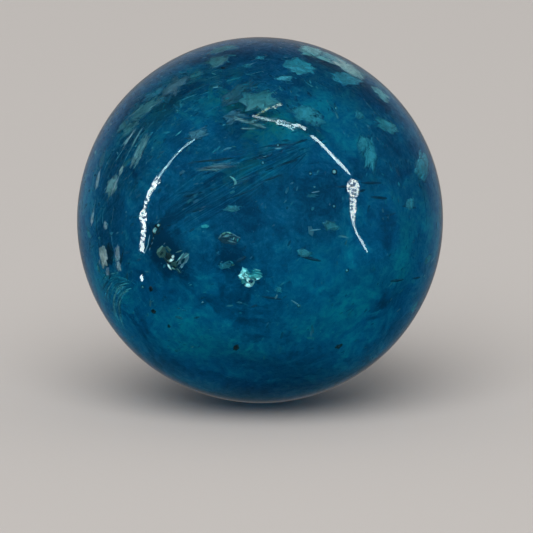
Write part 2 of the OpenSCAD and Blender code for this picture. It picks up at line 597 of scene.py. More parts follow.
@dataclass(frozen=True)
class CloudFinish:
    """The cloudy depth of the glass: navy, blue and teal, mottled, and streaked where it was combed."""

    dark: Colour = (0.02, 0.11, 0.22)
    navy: Colour = (0.04, 0.19, 0.36)
    blue: Colour = (0.12, 0.28, 0.49)
    teal: Colour = (0.28, 0.41, 0.59)
    pale: Colour = (0.45, 0.62, 0.70)
    green: Colour = (0.9, 0.62, 0.55)
    # Painted light: how much lighter and bluer the lower limbs and the bottom are made.
    sky: Colour = (1.0, 1.2, 1.28)

    def made(self) -> bpy.types.Material:
        """The cloud's finish: one tone from 0 to 1 through a ramp, then the green veils over it.

        The tone is 0.5, swayed by three sizes of noise and by the piece's attributes for teal, navy, dark
        blots with painted shade, and combing; the attribute of painted blue light makes it lighter and bluer
        on the lower limbs and the bottom.

        Returns:
            The material.
        """
        recipe = Recipe("glass_cloud")
        calm = recipe.maths("MULTIPLY_ADD", recipe.kept("combed"), -0.5, 1.0)
        tone = recipe.swayed(0.5, recipe.noise(300, 3, 0.6, 1.0), 0.85)
        tone = recipe.swayed(tone, recipe.noise(650, 7, 0.8, 1.3), recipe.maths("MULTIPLY", calm, 1.9))
        tone = recipe.swayed(tone, recipe.noise(2400, 6, 0.8, 0.8), 1.5)
        tone = recipe.maths("MULTIPLY_ADD", recipe.kept("teal"), 0.32, tone)
        tone = recipe.maths("MULTIPLY_ADD", recipe.kept("navy"), -0.32, tone)
        for scale, run, share in ((150, 0.07, 1.7), (340, 0.08, 1.4), (700, 0.07, 0.8)):
            streak = recipe.noise(scale, 1.5, 0.5, depth=recipe.maths("MULTIPLY", recipe.kept("stream"), run))
            tone = recipe.swayed(tone, streak, recipe.maths("MULTIPLY", recipe.kept("combed"), share))
        # Darker in dark blots of the glass, and in painted shade under the mica clumps.
        blot_and_shade_mask = recipe.maths("MULTIPLY", recipe.kept("blots_and_painted_shade"), recipe.patchy(0.38, 0.52, 480, 6, 0.72, 1.2))
        tone = recipe.maths("MULTIPLY_ADD", blot_and_shade_mask, -0.6, tone)
        base = recipe.ramp(tone, ((0.02, self.dark), (0.27, self.navy), (0.50, self.blue), (0.74, self.teal),
                                  (1.0, self.pale)))
        veil = recipe.maths("MULTIPLY", recipe.kept("green"), recipe.patchy(0.42, 0.60, 750, 5, 0.7, 0.8))
        base = recipe.mixed(veil, base, self.green)
        # Painted light: the lower limbs and the bottom are made lighter and bluer.
        base = recipe.mixed(recipe.kept("sky"), base, self.sky, "MULTIPLY")
        surface = recipe.add("BsdfPrincipled", Base_Color=base, Roughness=0.7, Specular_IOR_Level=0.1)
        return recipe.finish(surface)


@dataclass(frozen=True)
class FlakeFinish:
    """Split mica: each leaf's own colour, mottled, streaked along it, and ragged where its rim thins out."""

    name: str
    roughness: float = 0.5
    metallic: float = 0.0
    ragged: float = 1.6

    def made(self) -> bpy.types.Material:
        """The leaf's finish, mixed from its attributes colour, glass, inner, soft, show and lay.

        Returns:
            The material.
        """
        recipe = Recipe(self.name)
        grain = recipe.noise(600, 4, 0.7, depth=recipe.maths("MULTIPLY", recipe.kept("lay"), 0.012))
        reach = recipe.maths("DIVIDE", recipe.kept("inner"), recipe.kept("soft"))
        reach = recipe.swayed(reach, recipe.noise(2600, 5, 0.72), self.ragged)
        reach = recipe.swayed(reach, grain, self.ragged * 0.8)
        shown = recipe.maths("MULTIPLY", recipe.span(reach, 0.05, 0.50), recipe.kept("show"))
        shown = recipe.maths("MULTIPLY", shown, recipe.span(grain, 0.26, 0.50, 0.7, 1.0))
        faded = recipe.mixed(recipe.patchy(0.35, 0.65, 620, 6, 0.76, 1.3), (0.7, 0.7, 0.7), (1.3, 1.3, 1.3))
        faded = recipe.mixed(1.0, recipe.kept("glass", "Color"), faded, "MULTIPLY")
        mottled = recipe.mixed(recipe.patchy(0.34, 0.66, 1900, 5, 0.72, 0.6), (0.62, 0.66, 0.68),
                               (1.22, 1.2, 1.18))
        own = recipe.mixed(1.0, recipe.kept("colour", "Color"), mottled, "MULTIPLY")
        whole = recipe.mixed(shown, faded, own)
        surface = recipe.add("BsdfPrincipled", Base_Color=whole, Metallic=self.metallic,
                             Roughness=self.roughness)
        return recipe.finish(surface)


@dataclass(frozen=True)
class ThreadFinish:
    """Drawn threads and specks of coloured glass, each of its own colour."""

    name: str
    between: Colour = tuple(GLASS.own(BODY, 1.2 * MM))
    uneven: float = 0.8

    def made(self) -> bpy.types.Material:
        """The thread's finish, from its attribute colour, which comes and goes along it.

        Returns:
            The material.
        """
        recipe = Recipe(self.name)
        share = recipe.span(recipe.noise(1500, 3, 0.6), 0.38, 0.60, 0.0, self.uneven)
        colour = recipe.mixed(share, recipe.kept("colour", "Color"), self.between)
        surface = recipe.add("BsdfPrincipled", Base_Color=colour, Roughness=0.6)
        return recipe.finish(surface)


@dataclass(frozen=True)
class GritFinish:
    """Dark iron grit: nearly black, with a little rust in it."""

    dark: Colour = (0.010, 0.025, 0.05)
    rust: Colour = (0.10, 0.05, 0.06)

    def made(self) -> bpy.types.Material:
        """The grit's finish, with its rust in patches.

        Returns:
            The material.
        """
        recipe = Recipe("grit")
        colour = recipe.mixed(recipe.patchy(0.45, 0.7, 3500, 3), self.dark, self.rust)
        surface = recipe.add("BsdfPrincipled", Base_Color=colour, Roughness=0.75)
        return recipe.finish(surface)


# --- The ball ----------------------------------------------------------------------------------------


@dataclass
class GlassBall:
    """The outer surface of the ball, a little out of true as a hand-rolled one is, with its air bubbles.

    Large gives the numbers of the bubbles that are larger than the others.
    """

    radius: float = BALL_RADIUS
    rows: int = 200
    columns: int = 400
    wave_depth: float = 0.03 * MM
    bubble_radius: float = 0.13 * MM
    bubble_depth: float = 0.7 * MM
    bubbles: tuple[Place, ...] = (
        (27, 25), (18, 25), (29, -7), (-42, -14), (38, 47), (25, 14), (1, 29), (7, 35),
        (13, -18), (100, 40), (130, 5), (-115, 30), (-95, -25), (170, -10), (-165, 55), (60, -45),
    )
    large: tuple[int, ...] = (0,)
    large_share: float = 1.6

    def bubble_radii(self) -> np.ndarray:
        """The bubbles' radii, of which a few are large."""
        is_large = np.isin(np.arange(len(self.bubbles)), self.large)
        return self.bubble_radius * np.where(is_large, self.large_share, 1)

    def skin(self) -> Sheet:
        """The surface: r = radius - wave_depth * (1.5 + waves) / 2, so that it never leaves its box.

        Returns:
            The sheet.
        """
        points, faces = globe(self.rows, self.columns)
        waves = np.clip(ripples(points, 3, 24, 3, 9), -1, 1)
        return Sheet(points * (self.radius - self.wave_depth * (1.5 + waves[:, None]) / 2), faces)

    def bubble(self, around: float, up: float, radius: float) -> Sheet:
        """One bubble: a small ball whose faces point into its own hollow.

        Args:
            around: Degrees round.
            up: Degrees up.
            radius: The bubble's radius.

        Returns:
            The sheet.
        """
        points, faces = globe(10, 20)
        centre = outward(around, up) * (self.radius - self.bubble_depth)
        return Sheet(centre + points * radius, faces).flipped()

    def build(self) -> None:
        """The glass piece, which stands for the CAD ball."""
        bubbles = [self.bubble(*place, radius) for place, radius in zip(self.bubbles, self.bubble_radii())]
        piece = made_piece("marble_glass", joined([self.skin(), *bubbles]), GLASS.made())
        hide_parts("glass_ball")


@dataclass(frozen=True)
class Stream:
    """The way that the melt was drawn: rings about the front, and a combed fan that opens to the left.

    The fan's reach and its soft end are degrees from its hub. Its half width, its narrowing and its droop
    below the left are bearings seen from there, and bend is how fast it rises again.
    """

    rings_about: Place = (5.0, 8.0)
    ring_pitch: float = 2.2
    ring_sway: float = 0.35
    hub: Place = (26.0, 39.0)
    fan_reach: float = 68.0
    fan_end: float = 18.0
    half_width: float = 22.0
    narrowing: float = 13.0
    droop: float = 13.5
    bend: float = 1 / 40
    drawn_about: Place = (-34.0, 20.0)
    drawn_reach: float = 75.0
    drawn_edge: float = 25.0

    def fan(self, points: np.ndarray) -> tuple[np.ndarray, np.ndarray]:
        """The fan's own coordinate, -1 at its upper edge and 1 at its lower edge, and its weight.

        With d the degrees from the hub and b the bearing below the left, in degrees, the coordinate is
        (b - droop + bend * d) / w, where w is half_width - narrowing * d / fan_reach and stops falling at
        1.2 reaches.

        Args:
            points: Unit vectors.

        Returns:
            The coordinate and the weight, from 0 to 1.
        """
        right, upward = tangents(*self.hub)
        d = np.degrees(np.arccos(np.clip(points @ outward(*self.hub), -1, 1)))
        b = np.degrees(np.arctan2(-(points @ upward), -(points @ right)))
        width = self.half_width - self.narrowing * np.clip(d / self.fan_reach, 0, 1.2)
        across = np.clip((b - self.droop + d * self.bend) / width, -4, 4)
        inside = np.clip(1.6 - np.abs(across) * 1.1, 0, 1)
        inside = inside * np.clip((self.fan_reach - d) / self.fan_end, 0, 1)
        return across, inside * np.clip((d - 3) / 8, 0, 1)

    def value(self, points: np.ndarray) -> tuple[np.ndarray, np.ndarray]:
        """A value whose level lines run along the stream, and how strongly the glass is combed there.

        It is ring_pitch * the angle from the middle of the rings, in radians, plus soft waves. Where the
        glass was drawn to the left it is the fan's coordinate instead.

        Args:
            points: Unit vectors.

        Returns:
            The value, and the strength from 0 to 1.
        """
        rings = np.arccos(np.clip(points @ outward(*self.rings_about), -1, 1)) * self.ring_pitch
        rings = rings + self.ring_sway * ripples(points, 21, 20, 1.5, 5)
        across, inside = self.fan(points)
        left = np.degrees(np.arccos(np.clip(points @ outward(*self.drawn_about), -1, 1)))
        drawn = np.clip((self.drawn_reach - left) / self.drawn_edge, 0, 1)
        return rings * (1 - drawn) + across * 0.9 * drawn, inside


@dataclass
class Cloud:
    """The dense, cloudy depth of the coloured glass, which billows well under the skin.

    Calm is the share of the billows that combing takes away. The zones give the colours of the mottling,
    where it was drawn into streaks, the painted light that makes the lower limbs and the bottom lighter and
    bluer, and the painted shade under the mica clumps.
    """

    radius: float = 0.762 * BALL_RADIUS
    lowest: float = 0.685 * BALL_RADIUS
    highest: float = 0.86 * BALL_RADIUS
    billow: float = 0.35 * MM
    folds: float = 0.6
    calm: float = 0.6
    comb_pitch: float = 16.0
    comb_height: float = 0.14
    rows: int = 199
    columns: int = 398
    teal: tuple[Zone, ...] = (
        Zone(50, 33, 10, 12, 10, 0.25), Zone(50, 54, 20, 9, -20, 0.5), Zone(-1, 57, 26, 10, 0, 0.45),
        Zone(36, -32, 22, 16, 0, 0.75), Zone(-11, -12, 14, 6, 0, 0.25), Zone(-34, -37, 18, 10, 0, 0.8),
        Zone(-8, -42, 16, 8, 0, 0.5),
        Zone(-65, 37, 12, 20, 20, 0.8), Zone(-92, 0, 20, 46, 0, 0.8), Zone(92, 0, 18, 46, 0, 0.7),
        Zone(62, -3, 5, 11, 0, 0.9), Zone(78, 8, 9, 12, 0, 0.5), Zone(115, 40, 14, 24, 0, 0.5),
        Zone(-112, 40, 14, 24, 0, 0.4), Zone(-72, -30, 16, 18, 0, 0.9), Zone(48, 12, 6, 8, 0, 0.3),
        Zone(15, -4, 8, 6, 0, 0.4), Zone(21, 47, 10, 8, 0, 0.8), Zone(-49, -5, 7, 8, 0, 0.7),
        Zone(-34, 60, 20, 9, 0, 0.35), Zone(76, 60, 14, 14, 0, 0.8), Zone(1, 46, 11, 7, 0, 0.6),
        Zone(36, 8, 7, 12, 0, 0.3), Zone(40, -36, 12, 10, 0, 0.6), Zone(-38, -37, 11, 9, 0, 0.9),
        Zone(34, -18, 8, 8, 0, 0.6), Zone(58, -12, 6, 7, 0, 0.7),
    )
    # Darker glass; the zones about (-12, -3) and (-36, -7) are painted shade under the mica clumps.
    navy: tuple[Zone, ...] = (
        Zone(14, 14, 18, 9, 12, 0.9), Zone(-37, 3, 8, 8, 0, 0.6), Zone(-10, 42, 8, 5, 0, 0.3),
        Zone(-8, 22, 24, 14, 12, 0.6), Zone(42, -2, 10, 12, 0, 0.25), Zone(28, 30, 12, 10, 0, 0.3),
        Zone(80, 44, 10, 14, 0, 0.4), Zone(180, 84, 24, 16, 0, 0.8), Zone(-88, 46, 10, 24, 0, 0.3),
        Zone(-12, -3, 9, 8, -40, 1.0), Zone(-36, -7, 9, 7, 0, 0.9), Zone(0, -11, 9, 5, 0, 0.5),
        Zone(-56, 25, 8, 12, 0, 0.8), Zone(-42, 40, 9, 9, 0, 0.5), Zone(-34, 18, 9, 12, 0, 0.6),
        Zone(-15, 13, 12, 8, 0, 0.5), Zone(-10, -20, 14, 6, 0, 0.45), Zone(70, -38, 8, 12, 0, 0.4),
        Zone(53, 3, 3.5, 9, 0, 1.0), Zone(-60, -38, 12, 8, 0, 0.4),
        Zone(-19, 66, 6, 6, 0, 0.6),
    )
    green: tuple[Zone, ...] = (
        Zone(0, 51, 8, 7, 0, 0.8), Zone(2, 45, 11, 7, 0, 0.8), Zone(-75, 44, 16, 7, 40, 0.5),
        Zone(-12, 28, 16, 7, 15, 0.3), Zone(51, 30, 5, 10, 0, 0.3), Zone(-62, 30, 9, 14, 20, 0.35),
        Zone(-40, 66, 20, 8, 0, 0.4), Zone(-21, 60, 9, 8, 0, 0.35),
    )
    # Painted light: zones where the glass is made lighter and bluer, on the lower limbs and the bottom.
    sky: tuple[Zone, ...] = (
        Zone(-84, -20, 26, 40, 0, 0.9), Zone(90, -14, 18, 34, 0, 0.4), Zone(0, -76, 180, 20, 0, 0.4),
    )
    drawn: tuple[Zone, ...] = (
        Zone(-76, 20, 18, 50, 0, 0.45), Zone(-45, 66, 34, 14, 0, 0.4), Zone(84, 30, 12, 40, 0, 0.2),
        Zone(-62, -25, 16, 12, 0, 0.3), Zone(180, 10, 70, 60, 0, 0.25),
    )
    # Dark blots of the glass, and painted shade under the mica clumps about (-12, -3) and (-36, -6).
    blots_and_painted_shade: tuple[Zone, ...] = (
        Zone(53, 4, 4, 9, 0, 1.0), Zone(55, -27, 4, 11, -10, 0.75), Zone(-64, -33, 14, 8, 0, 0.6),
        Zone(-3, -24, 9, 12, -25, 0.7), Zone(6, -40, 16, 7, 0, 0.6), Zone(-42, 2, 8, 8, 0, 1.0),
        Zone(-25, 62, 12, 8, 0, 0.4), Zone(-70, 20, 8, 26, 10, 0.5), Zone(85, 48, 10, 14, 0, 0.3),
        Zone(-40, -36, 12, 8, 20, 0.15), Zone(-92, 40, 12, 30, 0, 0.3), Zone(-12, -3, 7, 6, -40, 1.0),
        Zone(40, 24, 8, 6, 0, 0.4), Zone(30, -20, 9, 6, 0, 0.4), Zone(-36, -6, 6, 6, 0, 1.0),
    )

    def build(self) -> None:
        """The cloud piece, which stands for the CAD cloud.

        r = radius + billow * ((waves + folds * folded waves) * (1 - calm * combed) + comb), where comb is
        comb_height * sin(comb_pitch * the stream's value + waves), in the combed fan alone.
        """
        points, faces = globe(self.rows, self.columns)
        stream, combed = Stream().value(points)
        folded = 0.5 - np.abs(ripples(points, 12, 30, 6, 12))
        lumps = ripples(points, 11, 40, 4, 14) + self.folds * folded
        stream = stream + 0.09 * ripples(points, 15, 24, 4, 14) * combed
        wave = np.sin(stream * self.comb_pitch + 4 * ripples(points, 13, 16, 3, 12))
        comb = wave * self.comb_height * combed
        reach = self.radius + self.billow * (lumps * (1 - self.calm * combed) + comb)
        sheet = Sheet(points * np.clip(reach, self.lowest, self.highest)[:, None], faces)
        piece = made_piece("glass_cloud", sheet, CloudFinish().made())
        drift = 1 + 0.5 * ripples(points, 14, 30, 5, 15)
        for name in ("teal", "navy", "green", "blots_and_painted_shade", "sky"):
            tint(piece, name, np.clip(zoned(points, getattr(self, name)) * drift, 0, 1))
        tint(piece, "stream", stream)
        tint(piece, "combed", np.clip(combed + zoned(points, self.drawn), 0, 1))
        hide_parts("cloudy_glass")


# --- What lies in the glass --------------------------------------------------------------------------


class Outline(Enum):
    """Outlines of split mica, each 1 long and 1 wide."""

    BROAD = ((-0.50, -0.12), (-0.20, -0.50), (0.33, -0.42), (0.50, 0.04), (0.26, 0.36), (-0.02, 0.50),
             (-0.36, 0.38))
    NOTCHED = ((-0.50, 0.20), (-0.42, -0.34), (-0.10, -0.22), (0.02, -0.50), (0.46, -0.38), (0.38, -0.06),
               (0.50, 0.46), (0.12, 0.38), (-0.28, 0.50))
    SPLIT = ((-0.50, -0.30), (0.14, -0.50), (0.50, -0.08), (0.36, 0.34), (-0.06, 0.50), (-0.44, 0.22),
             (-0.18, -0.10))
    SLIVER = ((-0.50, -0.08), (-0.24, -0.50), (0.20, -0.38), (0.50, 0.10), (0.24, 0.50), (-0.22, 0.44))

    def rim(self, count: int) -> np.ndarray:
        """Points spaced evenly along the outline.

        Args:
            count: Number of points.

        Returns:
            The points, as an array of x and y.
        """
        closed = np.array([*self.value, self.value[0]])
        run = np.concatenate([[0], np.cumsum(np.linalg.norm(np.diff(closed, axis=0), axis=1))])
        at = np.arange(count) / count * run[-1]
        return np.stack([np.interp(at, run, closed[:, 0]), np.interp(at, run, closed[:, 1])], axis=-1)


class Mica(Enum):
    """The colours that mica has when it is seen in the glass."""

    TEAL = (0.013, 0.195, 0.270)
    AZURE = (0.022, 0.235, 0.330)
    BRIGHT = (0.034, 0.295, 0.400)
    PALE = (0.110, 0.340, 0.390)
    WHITE = (0.42, 0.70, 0.72)
    GREEN = (0.032, 0.170, 0.215)
    OLIVE = (0.036, 0.125, 0.175)
    DEEP = (0.009, 0.155, 0.225)
    SLATE = (0.026, 0.155, 0.235)
    PATCH = (0.018, 0.155, 0.195)
    STROKE = (0.070, 0.235, 0.275)
    LILAC = (0.16, 0.32, 0.46)
    INK = (0.002, 0.030, 0.055)
    UMBER = (0.014, 0.092, 0.140)


@dataclass
class MicaFlakes:
    """The mica flakes near the surface: some laid one by one on the front, and others spread over the back.

    Each flake is split into leaves, given as (size, how much it shows, lift, share of its own colour at its
    rim). A laid row is (round, up, long, wide, turn, layer, outline, colour), with long and wide as shares of
    the flakes' length and width. Layers lie below one another, and layers and outlines are numbered from 0.
    """

    length: float = 1.5 * MM
    width: float = 1.0 * MM
    thickness: float = 0.04 * MM
    curl: float = 0.04 * MM
    lean: float = 6.0
    depth: float = 0.45 * MM
    layer_gap: float = 0.3 * MM
    rim_points: int = 40
    frill: float = 0.17
    rounded: float = 0.2
    soft: tuple[float, float] = (0.35, 0.28)
    fading: float = 0.07
    seed: int = 8
    leaves: tuple[tuple[float, float, float, float], ...] = (
        (1.06, 0.8, 0.0, 0.0), (0.92, 1.0, 0.05 * MM, 0.35), (0.55, 1.0, 0.10 * MM, 0.8),
    )
    laid: tuple[tuple, ...] = (
        (33, 67, 1.3, 2.1, -30, 0, 0, Mica.TEAL), (17, 62, 0.8, 0.5, -6, 1, 3, Mica.BRIGHT),
        (72, 70, 1.7, 1.4, -79, 1, 1, Mica.WHITE), (76, 60, 1.7, 1.9, -84, -0.3, 2, Mica.WHITE),
        (61, 57, 1.6, 1.3, -40, 0.5, 3, Mica.AZURE), (-41, 69, 1.1, 1.7, 67, 0, 2, Mica.GREEN),
        (-12, 70, 0.4, 0.5, 5, 2, 3, Mica.TEAL), (0, 73, 0.4, 0.5, 0, 0, 1, Mica.TEAL),
        (-29, 59, 0.4, 0.4, 10, 3, 3, Mica.DEEP), (-55, 55, 1.4, 1.8, 100, 1, 1, Mica.OLIVE),
        (-80, 78, 1.3, 1.2, 88, 3, 0, Mica.GREEN),
        (23, 46, 1.4, 1.5, -31, 2, 0, Mica.TEAL), (0, 51, 1.6, 1.9, 13, 0, 1, Mica.PATCH),
        (-13, 57, 1.9, 1.2, 58, 3, 0, Mica.UMBER), (-13, 46, 0.9, 1.0, 40, 2, 2, Mica.SLATE),
        (-6, 43, 1.1, 0.22, -14, 0, 3, Mica.STROKE),
        (-10, 46, 1.0, 0.25, -3, 1, 3, Mica.SLATE), (-2, 42, 1.0, 0.2, -20, 0, 3, Mica.STROKE),
        (-9, 44, 0.7, 0.12, -10, 0, 3, Mica.STROKE), (4, 45, 0.8, 0.3, 10, 2, 3, Mica.GREEN),
        (0, 44, 0.9, 0.14, 16, 0, 3, Mica.STROKE), (-5, 41, 0.8, 0.12, 4, 1, 3, Mica.STROKE),
        (49, 43, 0.5, 0.6, -11, 1, 0, Mica.DEEP), (60, 37, 1.4, 1.1, -29, 0, 2, Mica.TEAL),
        (78, 47, 0.9, 1.4, -85, 1, 1, Mica.PALE), (-26, 38, 1.0, 0.8, 17, 1, 2, Mica.SLATE),
        (-62, 43, 1.7, 1.4, 54, 1, 1, Mica.GREEN), (-70, 36, 1.0, 0.7, 60, 2, 3, Mica.GREEN),
        (-50, 31, 1.2, 0.8, 83, 1, 3, Mica.GREEN), (-58, 33, 1.0, 0.18, 78, 0, 3, Mica.LILAC),
        (-54, 33, 1.2, 0.20, 81, 0, 3, Mica.STROKE), (-48, 31, 1.0, 0.25, 83, 0, 3, Mica.STROKE),
        (-50, 28, 1.1, 0.40, 85, 0, 3, Mica.STROKE), (-63, 39, 1.2, 0.25, 59, 1, 3, Mica.STROKE),
        (-58, 44, 1.3, 0.22, 56, 1, 3, Mica.STROKE), (-66, 42, 1.2, 0.22, 58, 1, 3, Mica.STROKE),
        (-43, 49, 0.3, 0.4, 66, 3, 0, Mica.DEEP),
        (-16, 27, 1.6, 0.20, 7, 0, 2, Mica.OLIVE), (-14, 28, 1.3, 0.16, 9, 0, 3, Mica.SLATE),
        (-18, 26, 1.1, 0.12, 4, 0, 3, Mica.STROKE), (-12, 27, 0.8, 0.12, 10, 0, 3, Mica.OLIVE),
        (-18, 29, 1.8, 0.14, 10, 0, 3, Mica.INK), (-13, 30, 1.0, 0.10, 14, 1, 3, Mica.INK),
        (-9, 14, 0.7, 0.45, 2, 0, 3, Mica.TEAL),
        (45, 29, 1.8, 1.1, 62, 2, 2, Mica.TEAL), (44, 33, 0.9, 0.9, 40, 2, 1, Mica.TEAL),
        (58, 11, 0.8, 0.7, 10, 1, 0, Mica.AZURE),
        (23, 8, 0.75, 0.65, -13, 0, 0, Mica.DEEP), (14, 0, 0.6, 0.5, -8, 0, 0, Mica.TEAL),
        (18, 18, 0.5, 0.2, 1, 2, 3, Mica.DEEP), (28, 4, 0.4, 0.2, -5, 3, 3, Mica.DEEP),
        (6, -12, 0.3, 0.4, -32, 1, 2, Mica.TEAL), (-11, -4, 0.6, 0.4, 17, 0, 3, Mica.DEEP),
        (-41, 10, 0.5, 0.3, 45, 0, 3, Mica.TEAL),
        (-58, 16, 1.15, 1.15, 66, 0, 2, Mica.STROKE), (-56, 17, 0.9, 0.25, 76, 0, 3, Mica.LILAC),
        (-55, 22, 0.4, 0.35, 70, 0, 3, Mica.WHITE),
        # The ink flake at (-59, -6), a little larger and deeper than the white one laid over it, is painted
        # shadow round it.
        (-68, 17, 0.8, 0.45, 92, 0, 3, Mica.LILAC), (-59, -6, 1.05, 1.15, 72, 2, 0, Mica.INK),
        (-59, -6, 1.0, 1.0, 72, -0.5, 0, Mica.WHITE),
        (-51, -4, 0.70, 0.50, 74, -0.3, 3, Mica.LILAC), (-51, -8, 0.45, 0.50, 68, -0.3, 3, Mica.LILAC),
        (-50, -5, 1.3, 0.08, 72, 1, 3, Mica.INK), (-58, -11, 0.45, 0.35, 62, 0, 3, Mica.LILAC),
        (-67, 5, 0.85, 0.40, 90, 0, 3, Mica.LILAC), (-58, 4, 0.35, 0.40, 88, 0, 3, Mica.LILAC),
        (-71, -1, 0.4, 0.6, 79, 1, 0, Mica.TEAL), (-68, -12, 0.5, 0.4, 68, 3, 3, Mica.PALE),
        (73, 21, 2.0, 1.6, 10, 0, 0, Mica.AZURE), (70, -9, 0.9, 0.5, 6, 1, 3, Mica.TEAL),
        (69, -25, 0.5, 0.7, 25, 0, 3, Mica.TEAL), (84, 3, 0.9, 0.8, 70, 2, 1, Mica.DEEP),
        (78, 73, 1.1, 1.8, -110, 0, 0, Mica.PALE), (80, 66, 1.3, 1.7, -98, 0, 1, Mica.PALE),
        (79, 61, 1.0, 1.2, -82, 1, 2, Mica.WHITE), (86, 57, 0.9, 1.5, -72, 1, 0, Mica.GREEN),
        (92, 62, 1.0, 2.0, -85, 3, 1, Mica.TEAL), (-64, 36, 1.3, 0.9, 48, 2, 2, Mica.GREEN),
        (-58, 48, 1.1, 0.7, 62, 2, 3, Mica.GREEN), (-49, 27, 0.8, 0.4, 76, 1, 3, Mica.PALE),
        (-56, 51, 0.7, 0.9, 94, 3, 1, Mica.TEAL), (-74, 23, 1.0, 0.6, 105, 3, 3, Mica.SLATE),
        (-52, 62, 0.9, 1.0, 84, 3, 0, Mica.GREEN), (-68, 50, 1.2, 1.0, 60, 3, 1, Mica.SLATE),
    )
    scattered: int = 46
    front: Place = (0.0, 11.0)
    back_angle: float = 100.0

    def rows(self, rng: np.random.Generator) -> list[tuple]:
        """The laid flakes, and others spread over the back by the golden angle.

        Those of the back are each of a random size, turn, outline and colour.

        Args:
            rng: The source of random draws.

        Returns:
            A row for each flake.
        """
        total = self.scattered * 2
        step = np.arange(total)
        up = np.degrees(np.arcsin(1 - (2 * step + 1) / total))
        around = (step * 180 * (3 - np.sqrt(5)) + 180) % 360 - 180
        off = np.degrees(np.arccos(np.clip(outward(around, up) @ outward(*self.front), -1, 1)))
        colours = [colour for colour in Mica if colour is not Mica.INK]
        return [*self.laid,
                *((around[i], up[i], rng.uniform(0.5, 1.4), rng.uniform(0.5, 1.3), rng.uniform(0, 180), i % 4,
                   int(rng.integers(4)), colours[int(rng.integers(len(colours)))])
                  for i in step[off > self.back_angle])]

    def build(self) -> None:
        """The flakes piece, which stands for the CAD flakes.

        A leaf's rim is its size times the outline, blended with an oval, plus a frill: the sum of
        sin(n angle + a random phase) / n^0.6 for n from 2 to 12.
        """
        rng = np.random.default_rng(self.seed)
        rows = self.rows(rng)
        count = len(rows)
        around, up, long, wide, turn, layer, outline = table_columns(rows, *range(7))
        angle = 2 * np.pi * np.arange(self.rim_points) / self.rim_points
        outlines = np.stack([shape.rim(self.rim_points) for shape in Outline])[outline.astype(int)]
        oval = 0.5 * np.stack([np.cos(angle - 2.9), np.sin(angle - 2.9)], axis=-1)
        shapes = (1 - self.rounded) * outlines + self.rounded * oval
        order = np.arange(2, 13)[:, None, None]
        spread = np.stack([long * self.length, wide * self.width], axis=-1)
        deep = self.depth + layer * self.layer_gap
        seen = np.array([row[7].value for row in rows]) * rng.uniform(0.85, 1.1, (count, 1))
        axes = self.axes(around, up, turn, np.radians(rng.normal(0, self.lean, (count, 2))))
        sheets, traits = [], []
        for size, show, lift, own_rim in self.leaves:
            frill = (np.sin(order * angle + rng.uniform(0, 6.3, (11, count, 1))) / order ** 0.6).sum(axis=0)
            rims = shapes * (size + self.frill * frill[..., None]) * spread[:, None]
            off = rng.uniform(-0.3, 0.3, (count, 2)) * (1 - size) * spread
            centres = outward(around, up) * (BALL_RADIUS - deep + lift)[:, None]
            centres = centres + axes[:, 0] * off[:, :1] + axes[:, 1] * off[:, 1:]
            sheet, inner = plates(rims, centres, axes, np.full(count, self.thickness),
                                  rng.normal(0, self.curl, count))
            each = len(inner) // count
            corners = sheet.corners.reshape(count, each, 3) - centres[:, None]
            across = (axes[:, 1][:, None] * corners).sum(axis=-1)
            rim_seen = np.array(BODY) * (1 - own_rim) + seen * own_rim
            sheets.append(sheet)
            traits.append((inner, np.repeat(GLASS.own(seen, deep), each, axis=0),
                           np.repeat(GLASS.own(rim_seen, deep), each, axis=0),
                           np.repeat(self.soft[0] + self.soft[1] * layer, each),
                           np.repeat(show * (1 - self.fading * layer), each),
                           (across / MM + 3.7 * np.arange(count)[:, None]).ravel()))
        piece = made_piece("mica_plates", joined(sheets), FlakeFinish("mica").made())
        for name, values in zip(("inner", "colour", "glass", "soft", "show", "lay"), zip(*traits)):
            tint(piece, name, np.concatenate(values))
        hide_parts("mica_flakes")

    @staticmethod
    def axes(around: np.ndarray, up: np.ndarray, turn: np.ndarray, tilt: np.ndarray) -> np.ndarray:
        """Each plate's own x, y and z directions: turned in the surface, then tilted a little out of it.

        Args:
            around: Degrees round.
            up: Degrees up.
            turn: Degrees anticlockwise from the right, as seen from outside.
            tilt: Two lean angles for each plate, in radians, along and across it.

        Returns:
            The directions, as plates by 3 by 3, one direction in a row.
        """
        right, upward = tangents(around, up)
        out = outward(around, up)
        t = np.radians(turn)[:, None]
        x = right * np.cos(t) + upward * np.sin(t) + out * tilt[:, :1]
        x /= np.linalg.norm(x, axis=1, keepdims=True)
        across = upward * np.cos(t) - right * np.sin(t)
        z = out - x * (out * x).sum(axis=1, keepdims=True) + across * tilt[:, 1:]
        z /= np.linalg.norm(z, axis=1, keepdims=True)
        return np.stack([x, np.cross(z, x), z], axis=1)


